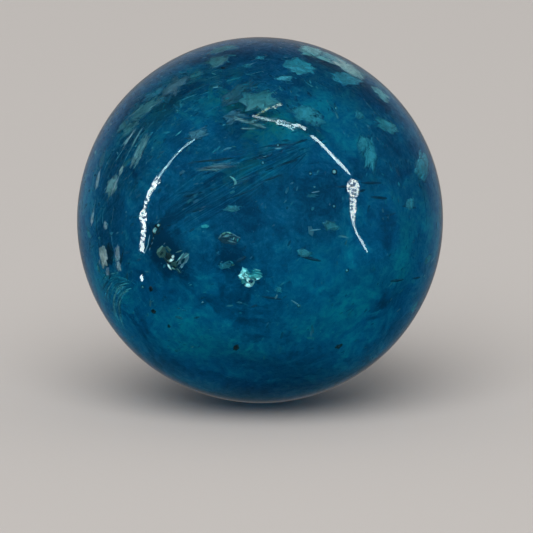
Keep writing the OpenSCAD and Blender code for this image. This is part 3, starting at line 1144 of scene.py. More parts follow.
@dataclass
class Flecks:
    """Thousands of tiny chips: mica and pale glass, thickest at the upper left, and frayed bits of flakes.

    Kinds are the colours that the light chips have, each with its share of them. Fray is how many splinters a
    flake of the full length and width has, over three.
    """

    tries: int = 11000
    rim_points: int = 5
    size: float = 0.085 * MM
    thickness: float = 0.03 * MM
    depth: tuple[float, float] = (0.35 * MM, 1.8 * MM)
    kinds: tuple[tuple[Mica, float], ...] = (
        (Mica.DEEP, 0.42), (Mica.TEAL, 0.2), (Mica.GREEN, 0.16), (Mica.PALE, 0.08), (Mica.SLATE, 0.14),
    )
    dark_share: float = 0.4
    fray: float = 9.0
    seed: int = 31
    zones: tuple[Zone, ...] = (
        Zone(-62, 40, 26, 22, 20, 0.75), Zone(-25, 60, 30, 14, 0, 0.55), Zone(-58, 8, 14, 26, 0, 0.5),
        Zone(35, 62, 34, 14, 0, 0.4), Zone(60, 25, 18, 26, 0, 0.35), Zone(-20, 27, 20, 10, 12, 0.3),
        Zone(25, -25, 40, 16, 0, 0.15), Zone(-30, -20, 30, 20, 0, 0.2), Zone(10, 30, 40, 40, 0, 0.15),
        Zone(180, 10, 90, 70, 0, 0.2), Zone(-95, 30, 16, 50, 0, 0.5), Zone(95, 40, 16, 50, 0, 0.35),
    )

    def strewn(self, rng: np.random.Generator) -> tuple[np.ndarray, ...]:
        """Chips at random places kept by the zones' weights, each lying along the stream.

        Args:
            rng: The source of random draws.

        Returns:
            Their directions, turns, half sizes, depths and seen colours.
        """
        points = rng.normal(size=(self.tries, 3))
        points /= np.linalg.norm(points, axis=1, keepdims=True)
        points = points[rng.random(self.tries) < np.clip(zoned(points, self.zones), 0, 0.8)]
        count = len(points)
        rise = [self.rise(points, way) for way in tangents(*angles_of(points))]
        turn = np.degrees(np.arctan2(rise[0], -rise[1])) + rng.normal(0, 16, count)
        size = self.size * np.exp(rng.normal(0, 0.4, (count, 1)))
        size = size * np.stack([rng.uniform(1.0, 2.6, count), rng.uniform(0.5, 0.9, count)], axis=-1)
        colours, shares = zip(*self.kinds)
        kind = rng.choice(len(colours), count, p=shares)
        light = np.array([colour.value for colour in colours])[kind]
        dark = np.array(BODY) * rng.uniform(0.45, 0.75, (count, 1))
        is_dark = rng.random((count, 1)) < self.dark_share
        seen = np.where(is_dark, dark, light * rng.uniform(0.6, 1.05, (count, 1)))
        return points, turn, size, rng.uniform(*self.depth, count), seen

    def frayed(self, rng: np.random.Generator) -> tuple[np.ndarray, ...]:
        """Splinters that lie along each flake and stick out past its rim.

        Args:
            rng: The source of random draws.

        Returns:
            Their directions, turns, half sizes, depths and seen colours.
        """
        flakes = MicaFlakes()
        rows = flakes.rows(np.random.default_rng(flakes.seed))
        around, up, long, wide, turn, layer = table_columns(rows, *range(6))
        own = np.repeat(np.arange(len(rows)), (3 + self.fray * long * wide).astype(int))
        count = len(own)
        axes = flakes.axes(around, up, turn, np.zeros((len(rows), 2)))[own]
        part = rng.uniform(0, 2 * np.pi, count)
        reach = np.sqrt(rng.uniform(0.1, 1.0, count))
        off = np.stack([np.cos(part) * long[own] * flakes.length, np.sin(part) * wide[own] * flakes.width],
                       axis=-1)
        off = off * 0.6 * reach[:, None]
        deep = flakes.depth + layer[own] * flakes.layer_gap - rng.uniform(0, 0.2, count) * MM
        points = outward(around, up)[own] * BALL_RADIUS + axes[:, 0] * off[:, :1] + axes[:, 1] * off[:, 1:]
        points /= np.linalg.norm(points, axis=1, keepdims=True)
        size = np.stack([rng.uniform(0.12, 0.36, count), rng.uniform(0.018, 0.050, count)], axis=-1) * MM
        seen = np.array([row[7].value for row in rows])[own] * rng.choice((0.35, 0.8, 1.1, 1.3), (count, 1))
        return points, turn[own] + rng.normal(0, 9, count), size, deep, seen

    def build(self) -> None:
        """The flecks piece, which holds both kinds of chips: each a small plate with a few uneven sides."""
        rng = np.random.default_rng(self.seed)
        chips = zip(self.strewn(rng), self.frayed(rng))
        points, turn, size, deep, seen = (np.concatenate(pair) for pair in chips)
        count = len(points)
        angle = 2 * np.pi * np.arange(self.rim_points) / self.rim_points
        reach = rng.uniform(0.6, 1.0, (count, self.rim_points))
        rims = np.stack([np.cos(angle) * reach, np.sin(angle) * reach], axis=-1) * size[:, None, :]
        sheet, inner = plates(rims, points * (BALL_RADIUS - deep)[:, None],
                              MicaFlakes.axes(*angles_of(points), turn, rng.normal(0, 0.2, (count, 2))),
                              np.full(count, self.thickness), np.zeros(count))
        piece = made_piece("mica_flecks", sheet, ThreadFinish("mica_fleck", uneven=0.6).made())
        tint(piece, "colour", np.repeat(GLASS.own(seen, deep), len(inner) // count, axis=0))

    @staticmethod
    def rise(points: np.ndarray, way: np.ndarray) -> np.ndarray:
        """How fast the stream's value rises along a direction in the surface.

        Args:
            points: Unit vectors.
            way: The direction at each of them.

        Returns:
            The rise in a radian.
        """
        step = 0.01
        moved = points + way * step
        moved = moved / np.linalg.norm(moved, axis=1, keepdims=True)
        return (Stream().value(moved)[0] - Stream().value(points)[0]) / step


@dataclass(frozen=True)
class Strands:
    """A family of drawn threads between two bounding curves, each curve given by three places.

    Shortest and longest are shares of the curve. Stray is how far a thread's own three places wander, in
    degrees, and flat is its height as a share of its width.
    """

    name: str
    edges: tuple[tuple[Place, Place, Place], tuple[Place, Place, Place]]
    count: int
    depth: tuple[float, float]
    radius: float
    colours: tuple[Colour, ...]
    shortest: float = 0.3
    longest: float = 0.9
    stray: float = 1.0
    flat: float = 0.5
    steps: int = 18
    seed: int = 1

    def paths(self, rng: np.random.Generator) -> np.ndarray:
        """Paths along curves (1-t)^2 A + 2t(1-t) B + t^2 C between the family's edges.

        Args:
            rng: The source of random draws.

        Returns:
            The paths, as threads by steps by 3.
        """
        edge = np.array(self.edges)
        share = rng.random((self.count, 1, 1))
        knots = edge[0][None] * (1 - share) + edge[1][None] * share
        knots = knots + rng.normal(0, self.stray, (self.count, 3, 2))
        run = rng.uniform(self.shortest, self.longest, self.count)
        start = rng.random(self.count) * (1 - run)
        t = (start[:, None] + run[:, None] * np.linspace(0, 1, self.steps))[..., None]
        first, middle, last = knots[:, None, 0], knots[:, None, 1], knots[:, None, 2]
        spots = (1 - t) ** 2 * first + 2 * t * (1 - t) * middle + t ** 2 * last
        deep = rng.uniform(*self.depth, self.count)[:, None] + 0.06 * MM * rng.normal(size=(self.count, 1))
        return outward(spots[..., 0], spots[..., 1]) * (BALL_RADIUS - deep)[..., None]

    def build(self, finish: bpy.types.Material) -> None:
        """One piece that holds the family's threads.

        Args:
            finish: Their finish.
        """
        rng = np.random.default_rng(self.seed)
        paths = self.paths(rng)
        sheet = tubes(paths, self.radius * np.exp(rng.normal(0, 0.35, self.count)), flat=self.flat)
        piece = made_piece(self.name, sheet, finish)
        seen = np.array(self.colours)[rng.integers(len(self.colours), size=self.count)]
        own = GLASS.own(seen, np.full(self.count, sum(self.depth) / 2))
        tint(piece, "colour", np.repeat(own, len(sheet.corners) // self.count, axis=0))


DARK = (0.0003, 0.020, 0.052)
NAVY = (0.0005, 0.034, 0.085)
SEA = (0.002, 0.090, 0.165)
MOSS = (0.005, 0.095, 0.130)
TURQUOISE = (0.016, 0.240, 0.350)
MILK = (0.080, 0.300, 0.370)
WISP = (0.090, 0.420, 0.520)
FOAM = (0.055, 0.340, 0.470)


@dataclass
class Threads:
    """Every family of drawn threads in the glass."""

    families: tuple[Strands, ...] = (
        Strands("fan_threads", (((28, 40), (1, 40), (-30, 30)), ((25, 36), (6, 20), (-38, 4))), 44,
                (0.6 * MM, 1.9 * MM), 0.045 * MM, (DARK, DARK, NAVY, SEA), 0.05, 0.16, 1.8, seed=2),
        Strands("left_threads", (((-50, -10), (-62, 14), (-48, 44)), ((-66, -14), (-78, 14), (-62, 46))), 46,
                (0.6 * MM, 1.8 * MM), 0.030 * MM, (DARK, SEA, TURQUOISE, NAVY, MOSS, MILK),
                0.05, 0.16, 3.0, seed=3),
        Strands("crown_threads", (((-75, 26), (-52, 54), (0, 70)), ((-92, 34), (-66, 72), (30, 82))), 80,
                (0.6 * MM, 1.8 * MM), 0.032 * MM, (DARK, SEA, MOSS, NAVY, MILK), 0.05, 0.15, 3.0, seed=4),
        Strands("right_threads", (((40, 66), (70, 44), (66, 14)), ((50, 74), (88, 48), (78, -10))), 40,
                (0.6 * MM, 1.8 * MM), 0.030 * MM, (DARK, SEA, NAVY, MOSS), 0.04, 0.14, 3.0, seed=5),
        Strands("wisps", (((-45, -12), (-60, -8), (-70, -22)), ((-47, -15), (-58, -20), (-61, -36))), 30,
                (0.4 * MM, 0.8 * MM), 0.045 * MM, (FOAM, TURQUOISE, FOAM, SEA), 0.2, 0.7, 0.9, seed=6),
        Strands("back_threads", (((100, 60), (150, 20), (200, -50)), ((140, 70), (190, 30), (260, -40))), 90,
                (0.6 * MM, 2.0 * MM), 0.03 * MM, (DARK, SEA, MOSS, NAVY, TURQUOISE), 0.06, 0.3, 4.0, seed=7),
    )

    def build(self) -> None:
        """Makes every family, in one finish."""
        finish = ThreadFinish("drawn_thread").made()
        for family in self.families:
            family.build(finish)


@dataclass
class Slits:
    """Short flat slits in the glass, dark or pale; the dark one at (16, -2) is painted shadow under the flake
    laid at (14, 0).

    A row is (round, up, length, turn, colour, width), with the length and the width in millimetres. Flat is
    a slit's height as a share of its width.
    """

    depth: float = 0.7 * MM
    flat: float = 0.35
    steps: int = 14
    rows: tuple[tuple, ...] = (
        # The dark slit at (16, -2) is painted shadow under the flake at (14, 0).
        (30, 20, 1.5, -3, DARK, 0.09), (41, 20, 1.8, -8, DARK, 0.10), (16, -2, 1.7, -17, DARK, 0.11),
        (51, -13, 1.5, -3, DARK, 0.10), (57, 10, 1.7, -14, DARK, 0.08), (7, 35, 1.7, 4, DARK, 0.09),
        (16, 36, 1.1, 14, DARK, 0.08), (10, 29, 1.6, 17, DARK, 0.09), (1, 31, 1.4, 14, DARK, 0.08),
        (4, 24, 1.8, 20, DARK, 0.07), (-6, 19, 2.0, 22, DARK, 0.07),
        (-6, -2, 0.8, 30, DARK, 0.14), (-29, 69, 0.4, 11, DARK, 0.12), (4, -15, 1.4, -10, DARK, 0.09),
        (43, 15, 1.5, -12, DARK, 0.10), (36, 18, 0.8, 3, DARK, 0.09), (47, 9, 1.1, 3, DARK, 0.07),
        (63, -14, 1.2, -6, DARK, 0.07),
        (28, 4, 0.7, -16, MILK, 0.05), (19, 19, 0.6, 7, MILK, 0.05), (18, 7, 0.8, 2, MILK, 0.045),
        (7, 34, 0.5, 5, MILK, 0.07), (-38, 2, 0.8, 78, MILK, 0.045), (-39, -1, 0.9, 62, MILK, 0.045),
        (12, -17, 0.9, -35, MILK, 0.06), (75, -10, 0.9, 20, MILK, 0.06), (72, -27, 0.9, 35, MILK, 0.06),
        (120, 10, 1.6, 20, DARK, 0.09), (160, 25, 1.4, -35, DARK, 0.08), (-140, 0, 1.8, 10, DARK, 0.09),
        (-110, -15, 1.2, 70, MILK, 0.06), (140, -25, 1.3, 15, DARK, 0.08), (-170, 45, 1.6, -20, DARK, 0.08),
        (-9.7, 24.0, 0.42, -31, WISP, 0.055), (-8.9, 23.3, 0.46, -56, WISP, 0.075),
        (-8.4, 22.4, 0.48, -82, WISP, 0.085), (-8.7, 21.5, 0.42, -120, WISP, 0.065),
    )

    def build(self) -> None:
        """The slits piece: straight flat threads, drawn out at both ends."""
        around, up, length, turn, width = table_columns(self.rows, 0, 1, 2, 3, 5)
        right, upward = tangents(around, up)
        t = np.radians(turn)[:, None]
        along = (right * np.cos(t) + upward * np.sin(t)) * (length * MM)[:, None]
        middle = outward(around, up) * (BALL_RADIUS - self.depth)
        paths = middle[:, None] + along[:, None] * np.linspace(-0.5, 0.5, self.steps)[None, :, None]
        sheet = tubes(paths, width * MM, flat=self.flat)
        piece = made_piece("glass_slits", sheet, ThreadFinish("slit", uneven=0.3).made())
        own = GLASS.own(np.array([row[4] for row in self.rows]), np.full(len(self.rows), self.depth))
        tint(piece, "colour", np.repeat(own, len(sheet.corners) // len(self.rows), axis=0))


@dataclass
class PaintedBubbleHighlights:
    """A painted highlight in each air bubble: a pale bead inside its own hollow, which stands for the
    bubble's glint.

    Share is its radius as a share of the bubble's, and between the colour that comes and goes over it.
    """

    share: float = 0.85
    white: Colour = (0.98, 0.98, 0.98)
    blue: Colour = (0.35, 0.62, 0.75)
    between: Colour = (0.5, 0.8, 0.9)
    ball: GlassBall = field(default_factory=GlassBall)

    def build(self) -> None:
        """The painted highlights piece: a small pale bead in each bubble, white in the large ones and blue in
        the others.
        """
        points, faces = globe(6, 12)
        places = np.array(self.ball.bubbles, float)
        centres = outward(places[:, 0], places[:, 1]) * (self.ball.radius - self.ball.bubble_depth)
        radii = self.ball.bubble_radii()
        corners = centres[:, None] + points[None] * (radii * self.share)[:, None, None]
        sheet = Sheet(corners.reshape(-1, 3), repeated(faces, len(places), len(points)))
        finish = ThreadFinish("bubble_painted_highlight", self.between, uneven=0.3).made()
        piece = made_piece("bubble_painted_highlights", sheet, finish)
        is_large = (radii > self.ball.bubble_radius)[:, None]
        tint(piece, "colour", np.repeat(np.where(is_large, self.white, self.blue), len(points), axis=0))


@dataclass(frozen=True)
class Leaves:
    """Mica leaves laid about one place, each given by its offset, size, pose, outline and seen colour.

    A row is (right, above, long, wide, turn, lean right, lean up, outline, colour, depth): millimetres for
    the offset, the size and the depth, and degrees for the turn and the leans. Outlines are numbered from 0.
    """

    around: float
    up: float
    rows: tuple[tuple, ...]


SILVER = (0.34, 0.74, 0.78)
AQUA = (0.095, 0.52, 0.66)
CYAN = (0.034, 0.33, 0.45)
LAGOON = (0.006, 0.155, 0.21)
# Dark mica leaves, and dark leaves put in the gaps between the others as painted shade.
DARK_MICA_AND_SHADE = (0.006, 0.022, 0.028)
LICHEN = (0.045, 0.095, 0.095)
SAGE = (0.090, 0.180, 0.165)
STEEL = (0.060, 0.220, 0.290)
SHADE = (0.0006, 0.024, 0.052)
# Painted shade: dark backing leaves laid deep under the shell and the folded clump.
BACKING_SHADE = (0.005, 0.045, 0.085)
DRAB = (0.032, 0.105, 0.140)

FOLDED = Leaves(-28.6, -3.5, (
    (-0.99, 0.45, 0.95, 0.72, 58, 0, 0, 0, LICHEN, 0.75),
    (-1.08, 0.66, 0.80, 0.20, 45, 9, 12, 3, SAGE, 0.62), (-0.95, 0.38, 0.42, 0.20, 40, 0, 0, 3, DARK_MICA_AND_SHADE, 0.70),
    (-0.44, 0.20, 0.80, 0.62, -30, 0, 0, 2, DARK_MICA_AND_SHADE, 0.80),
    (-0.45, 0.72, 0.50, 0.26, -35, 0, 5, 1, LICHEN, 0.80),
    (-0.10, -0.22, 1.00, 0.50, -62, 0, 0, 0, DARK_MICA_AND_SHADE, 0.84),
    (0.10, 0.30, 0.36, 0.24, 62, 15, 21, 3, SILVER, 0.30),
    (-0.04, 0.04, 0.50, 0.24, 28, 15, 20, 2, SILVER, 0.32),
    (-0.24, -0.46, 0.60, 0.18, -58, 14, 20, 3, SILVER, 0.36),
    (-0.02, -0.32, 0.50, 0.40, 20, 4, 8, 1, LICHEN, 0.80),
    (-0.34, -0.12, 0.44, 0.16, -20, 8, 12, 3, SAGE, 0.72),
    (-0.06, -0.62, 0.36, 0.14, -30, 8, 12, 3, SAGE, 0.70),
    (0.72, 0.04, 1.40, 0.55, 50, 5, 8, 2, STEEL, 0.85),
    (0.53, 0.24, 0.95, 0.12, 52, 12, 17, 3, AQUA, 0.72), (0.70, -0.03, 0.55, 0.20, 50, 0, 0, 3, SHADE, 0.76),
    (1.00, 0.36, 0.55, 0.11, 40, 12, 17, 3, AQUA, 0.72), (0.30, -0.12, 0.80, 0.30, 62, 0, 0, 3, DARK_MICA_AND_SHADE, 0.90),
    # The deep dark backing leaf at (0.26, -0.80) is painted shade under the folded clump.
    (0.60, -0.38, 0.50, 0.24, 55, 8, 12, 2, STEEL, 0.80), (0.26, -0.80, 0.66, 0.36, -50, 0, 0, 2, BACKING_SHADE, 0.95),
    (-0.56, -0.12, 0.95, 0.14, -48, 0, 0, 3, DARK_MICA_AND_SHADE, 0.66), (0.40, 0.62, 0.60, 0.10, 20, 6, 8, 3, SAGE, 0.85),
    (0.30, -0.76, 0.44, 0.09, -48, 6, 9, 3, SAGE, 0.88),
))
SHELL = Leaves(-9.9, 5.0, (
    # The dark backing leaves of the shell are painted shade under its pale arcs.
    (-0.05, -0.14, 1.45, 0.84, -6, 0, 0, 0, BACKING_SHADE, 1.10), (0.10, -0.08, 0.80, 0.36, -10, 0, 4, 2, BACKING_SHADE, 1.04),
    (-0.64, 0.03, 0.44, 0.11, 54, 3, 10, 3, DRAB, 0.85), (-0.37, 0.25, 0.46, 0.10, 27, 3, 12, 3, SAGE, 0.85),
    (-0.02, 0.29, 0.46, 0.10, -14, 4, 14, 3, SAGE, 0.85), (0.33, 0.16, 0.46, 0.10, -26, 4, 12, 3, DRAB, 0.85),
    (0.65, 0.00, 0.38, 0.10, -24, 3, 8, 3, DRAB, 0.88), (0.34, -0.08, 0.24, 0.08, 72, 4, 15, 3, AQUA, 0.60),
    (0.47, -0.16, 0.20, 0.06, 66, 4, 12, 3, DRAB, 0.62), (0.60, -0.20, 0.32, 0.10, 68, 0, 5, 3, LAGOON, 0.85),
    (-0.20, 0.06, 0.66, 0.22, 10, 0, 9, 3, DRAB, 0.98), (0.16, -0.34, 0.70, 0.12, -16, 0, 6, 3, DRAB, 1.0),
    (-0.30, -0.12, 0.50, 0.10, -10, 0, 0, 3, BACKING_SHADE, 0.90),
    (-0.29, -1.92, 0.58, 0.10, 25, 0, 4, 3, LAGOON, 1.30),
    (0.12, -1.88, 0.36, 0.10, -40, 0, 4, 3, LAGOON, 1.30),
    (-0.25, -2.28, 0.62, 0.10, -22, 0, 4, 3, LAGOON, 1.30),
    (0.20, -2.10, 0.30, 0.14, 10, 0, 0, 3, LICHEN, 1.30),
))
CRYSTAL = Leaves(-3.8, -8.1, (
    (0.53, 0.28, 0.95, 0.45, -15, 0, 4, 2, LAGOON, 1.05),
    (0.60, 0.03, 0.80, 0.36, -10, 0, 8, 3, CYAN, 1.00), (0.66, -0.07, 0.42, 0.20, 15, 1, 18, 2, AQUA, 0.70),
    (-0.10, -0.05, 1.00, 0.95, 30, 0, 8, 0, CYAN, 1.08), (-0.33, 0.45, 0.60, 0.42, 70, 0, 19, 1, AQUA, 0.76),
    (-0.42, 0.14, 0.56, 0.44, -20, 0, 22, 0, AQUA, 0.66),
    (-0.13, 0.20, 0.52, 0.32, -45, 1, 24, 2, AQUA, 0.62),
    (-0.02, -0.07, 0.66, 0.38, -40, 1, 23, 1, SILVER, 0.55),
    (0.20, 0.08, 0.42, 0.32, 20, 1, 12, 0, CYAN, 0.78),
    (0.26, -0.28, 0.52, 0.44, 60, 1, 22, 2, AQUA, 0.64),
    (0.07, -0.48, 0.66, 0.40, 10, 1, 23, 0, SILVER, 0.60),
    (-0.26, -0.28, 0.50, 0.34, 30, 0, 14, 1, CYAN, 0.78),
    (-0.40, -0.42, 0.42, 0.24, -30, 0, 8, 2, LAGOON, 1.00),
    (-0.13, 0.55, 0.40, 0.18, -50, 0, 12, 3, CYAN, 0.80), (0.63, 0.53, 0.60, 0.08, -15, 0, 15, 3, AQUA, 0.98),
    (0.72, 0.35, 0.60, 0.07, -17, 0, 12, 3, CYAN, 0.80),
    (-0.24, 0.05, 0.64, 0.045, -42, 0, 0, 3, LAGOON, 0.56),
    (0.00, 0.12, 0.58, 0.045, -42, 0, 0, 3, LAGOON, 0.56),
    (0.10, -0.20, 0.40, 0.045, 30, 0, 0, 3, LAGOON, 0.56),
    (-0.12, -0.22, 0.36, 0.045, -40, 0, 0, 3, LAGOON, 0.56),
    (0.24, -0.30, 0.14, 0.10, 45, 1, 23, 1, AQUA, 0.52),
    (-0.34, 0.28, 0.16, 0.10, 40, 1, 23, 3, SILVER, 0.50),
    (0.02, -0.17, 0.18, 0.10, 30, 1, 23, 3, SILVER, 0.50),
    (0.22, -0.44, 0.14, 0.10, -30, 1, 23, 3, SILVER, 0.50),
    (-0.62, -0.20, 0.30, 0.08, -20, 0, 10, 3, LAGOON, 1.0),
))
SPARK = Leaves(-36.3, 5.6, (
    (0.20, -0.03, 0.78, 0.50, 72, 0, 0, 1, DARK_MICA_AND_SHADE, 0.70), (0.44, 0.34, 0.38, 0.34, 20, 0, 0, 2, DARK_MICA_AND_SHADE, 0.68),
    (0.18, -0.02, 0.44, 0.30, 72, 12, 12, 1, CYAN, 0.62),
    (0.16, -0.06, 0.42, 0.30, 80, 18, 18, 2, SILVER, 0.54),
    (0.24, 0.10, 0.20, 0.14, 100, 19, 17, 3, SILVER, 0.54),
    (0.45, 0.34, 0.22, 0.20, 10, 19, 17, 0, SILVER, 0.56),
    (0.02, -0.44, 0.36, 0.12, 65, 0, 0, 3, DARK_MICA_AND_SHADE, 0.70), (0.66, 0.10, 0.30, 0.22, 30, 0, 0, 2, SHADE, 0.80),
    (-0.10, -0.80, 0.30, 0.10, 80, 0, 0, 3, DARK_MICA_AND_SHADE, 0.72), (0.04, -0.62, 0.18, 0.07, 70, 14, 14, 3, AQUA, 0.66),
    (0.44, -0.22, 0.34, 0.12, 40, 0, 0, 3, DARK_MICA_AND_SHADE, 0.74), (-0.20, -1.20, 0.26, 0.08, 75, 0, 0, 3, DARK_MICA_AND_SHADE, 0.72),
    (-0.06, -0.98, 0.24, 0.06, 60, 14, 14, 3, STEEL, 0.66),
    (-0.26, -1.40, 0.30, 0.07, 72, 14, 14, 3, STEEL, 0.66),
))


@dataclass(frozen=True)
class Cluster:
    """A clump of mica on the back: its place, spread and leaves, which lie every way about its middle.

    The spread and the leaves' size are in millimetres, and how far they lean is in degrees.
    """

    around: float
    up: float
    turn: float
    spread: float
    leaves: int
    long: float
    wide: float
    lean: float
    colours: tuple[Colour, ...]

    def strewn(self, rng: np.random.Generator) -> Leaves:
        """The cluster's leaves, drawn at random.

        Args:
            rng: The source of random draws.

        Returns:
            The leaves.
        """
        rows = []
        for i in range(self.leaves):
            right, above, down = rng.normal(0, 0.5, 3) * np.array([1.0, 0.7, 0.5]) * self.spread
            size = np.exp(rng.normal(0, 0.3))
            rows.append((right, above, self.long * size, self.wide * size, self.turn + rng.normal(0, 35),
                         rng.normal(0, self.lean), rng.normal(0, self.lean), i % 4,
                         self.colours[i % len(self.colours)], 1.15 + down))
        return Leaves(self.around, self.up, tuple(rows))


@dataclass
class MicaClumps:
    """The clumps of mica crystals and folded leaves, up to a millimetre and more under the surface.

    Soft is how far in from its rim a leaf thins out, and rim share how much of the glass's own colour is left
    where it does.
    """

    rim_points: int = 18
    thickness: float = 0.045 * MM
    curl: float = 0.03 * MM
    soft: float = 0.3
    rim_share: float = 0.7
    seed: int = 17
    laid: tuple[Leaves, ...] = (FOLDED, SHELL, CRYSTAL, SPARK)
    clusters: tuple[Cluster, ...] = (
        Cluster(110, 20, 30, 0.50, 14, 0.7, 0.4, 20, (LICHEN, STEEL, SILVER, DARK_MICA_AND_SHADE)),
        Cluster(-130, -15, -60, 0.45, 16, 0.5, 0.36, 18, (AQUA, SILVER, STEEL, CYAN)),
        Cluster(175, 35, 15, 0.50, 14, 0.65, 0.4, 20, (LICHEN, DARK_MICA_AND_SHADE, STEEL, SILVER)),
        Cluster(150, -30, 80, 0.45, 16, 0.5, 0.36, 20, (AQUA, STEEL, SILVER, LAGOON)),
    )

    def build(self) -> None:
        """The clumps piece, which stands for the CAD clumps."""
        rng = np.random.default_rng(self.seed)
        groups = [*self.laid, *(cluster.strewn(rng) for cluster in self.clusters)]
        sheets, inner, own, dim = zip(*(self.leaves(group, rng) for group in groups))
        finish = FlakeFinish("mica_clump", roughness=0.32, metallic=0.5, ragged=1.2).made()
        piece = made_piece("mica_leaves", joined(list(sheets)), finish, smooth=False)
        inner = np.concatenate(inner)
        tint(piece, "colour", np.concatenate(own))
        tint(piece, "inner", inner)
        tint(piece, "soft", np.full(len(inner), self.soft))
        tint(piece, "show", np.ones(len(inner)))
        tint(piece, "glass", np.concatenate(dim))
        tint(piece, "lay", heights(piece))
        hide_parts("mica_clumps")

    def leaves(self, leaves: Leaves,
               rng: np.random.Generator) -> tuple[Sheet, np.ndarray, np.ndarray, np.ndarray]:
        """The leaves about one place.

        Args:
            leaves: The place and its leaves.
            rng: The source of random draws.

        Returns:
            The sheet, and for each corner how far in it lies, its own colour and the glass's colour there.
        """
        right, above, long, wide, turn, side, nod, outline, deep = table_columns(leaves.rows, *range(8), 9)
        deep = deep * MM
        count = len(deep)
        x, y = tangents(leaves.around, leaves.up)
        out = outward(leaves.around, leaves.up)
        places = out * BALL_RADIUS + x * (right * MM)[:, None] + y * (above * MM)[:, None]
        places *= ((BALL_RADIUS - deep) / np.linalg.norm(places, axis=1))[:, None]
        facing = out + x * np.tan(np.radians(side))[:, None] + y * np.tan(np.radians(nod))[:, None]
        facing /= np.linalg.norm(facing, axis=1, keepdims=True)
        t = np.radians(turn)[:, None]
        along = x * np.cos(t) + y * np.sin(t)
        along -= facing * (along * facing).sum(axis=1, keepdims=True)
        along /= np.linalg.norm(along, axis=1, keepdims=True)
        outlines = np.stack([shape.rim(self.rim_points) for shape in Outline])[outline.astype(int)]
        rims = outlines * rng.uniform(0.85, 1.1, (count, self.rim_points, 1))
        rims = rims * (np.stack([long, wide], axis=-1) * MM)[:, None]
        sheet, inner = plates(rims, places, np.stack([along, np.cross(facing, along), facing], axis=1),
                              np.full(count, self.thickness), rng.normal(0, self.curl, count))
        each = len(inner) // count
        own = GLASS.own(np.array([row[8] for row in leaves.rows]), deep)
        dim = GLASS.own(np.broadcast_to(BODY, (count, 3)), deep) * self.rim_share
        return sheet, inner, np.repeat(own, each, axis=0), np.repeat(dim, each, axis=0)


def heights(piece: bpy.types.Object) -> np.ndarray:
    """The height of each of a piece's corners.

    Args:
        piece: The piece.

    Returns:
        The heights, in millimetres.
    """
    places = np.empty(len(piece.data.vertices) * 3, np.float32)
    piece.data.vertices.foreach_get("co", places)
    return places.reshape(-1, 3)[:, 2] / MM


@dataclass
class Grit:
    """Grains of dark iron grit, each a rough lump.

    A row is (round, up, long, wide, turn), with long and wide as shares of the grains' size. Flat is a
    grain's height as a share of its width.
    """

    size: float = 0.2 * MM
    depth: float = 0.5 * MM
    flat: float = 0.6
    rough: float = 0.32
    rows: tuple[tuple[float, float, float, float, float], ...] = (
        (32, -35, 1.1, 0.8, 10), (-9, -34, 1.3, 0.8, 50), (-39, -22, 1.0, 0.7, -20), (-34, -27, 0.7, 0.5, 30),
        (-38, -14, 0.9, 0.6, 60), (-30, 66, 0.8, 0.6, 0), (120, -40, 1.1, 0.8, 20), (-150, 10, 1.2, 0.8, 70),
        (-100, 52, 0.9, 0.7, -30), (95, -5, 1.0, 0.7, 45),
    )

    def build(self) -> None:
        """The grit piece, which stands for the CAD grit: balls of r = size * (1 + rough * waves)."""
        points, faces = globe(12, 20)
        around, up, long, wide, turn = np.array(self.rows, float).T
        axes = MicaFlakes.axes(around, up, turn, np.zeros((len(self.rows), 2)))
        lumps = [1 + self.rough * ripples(points, 60 + i, 14, 2, 7) for i in range(len(self.rows))]
        stretch = np.stack([long, wide, self.flat * wide], axis=-1)
        shape = points[None] * np.stack(lumps)[..., None] * stretch[:, None]
        corners = outward(around, up)[:, None] * (BALL_RADIUS - self.depth) + shape * self.size @ axes
        sheet = Sheet(corners.reshape(-1, 3), repeated(faces, len(self.rows), len(points)))
        piece = made_piece("grit_grains", sheet, GritFinish().made())
        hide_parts("dark_grit")


# --- The studio --------------------------------------------------------------------------------------


def placed(place: Vector, x: Vector, y: Vector, z: Vector) -> Matrix:
    """The matrix of an object that stands at a place, with its own x, y and z turned to three directions."""
    return Matrix.Translation(place) @ Matrix((x, y, z)).transposed().to_4x4()


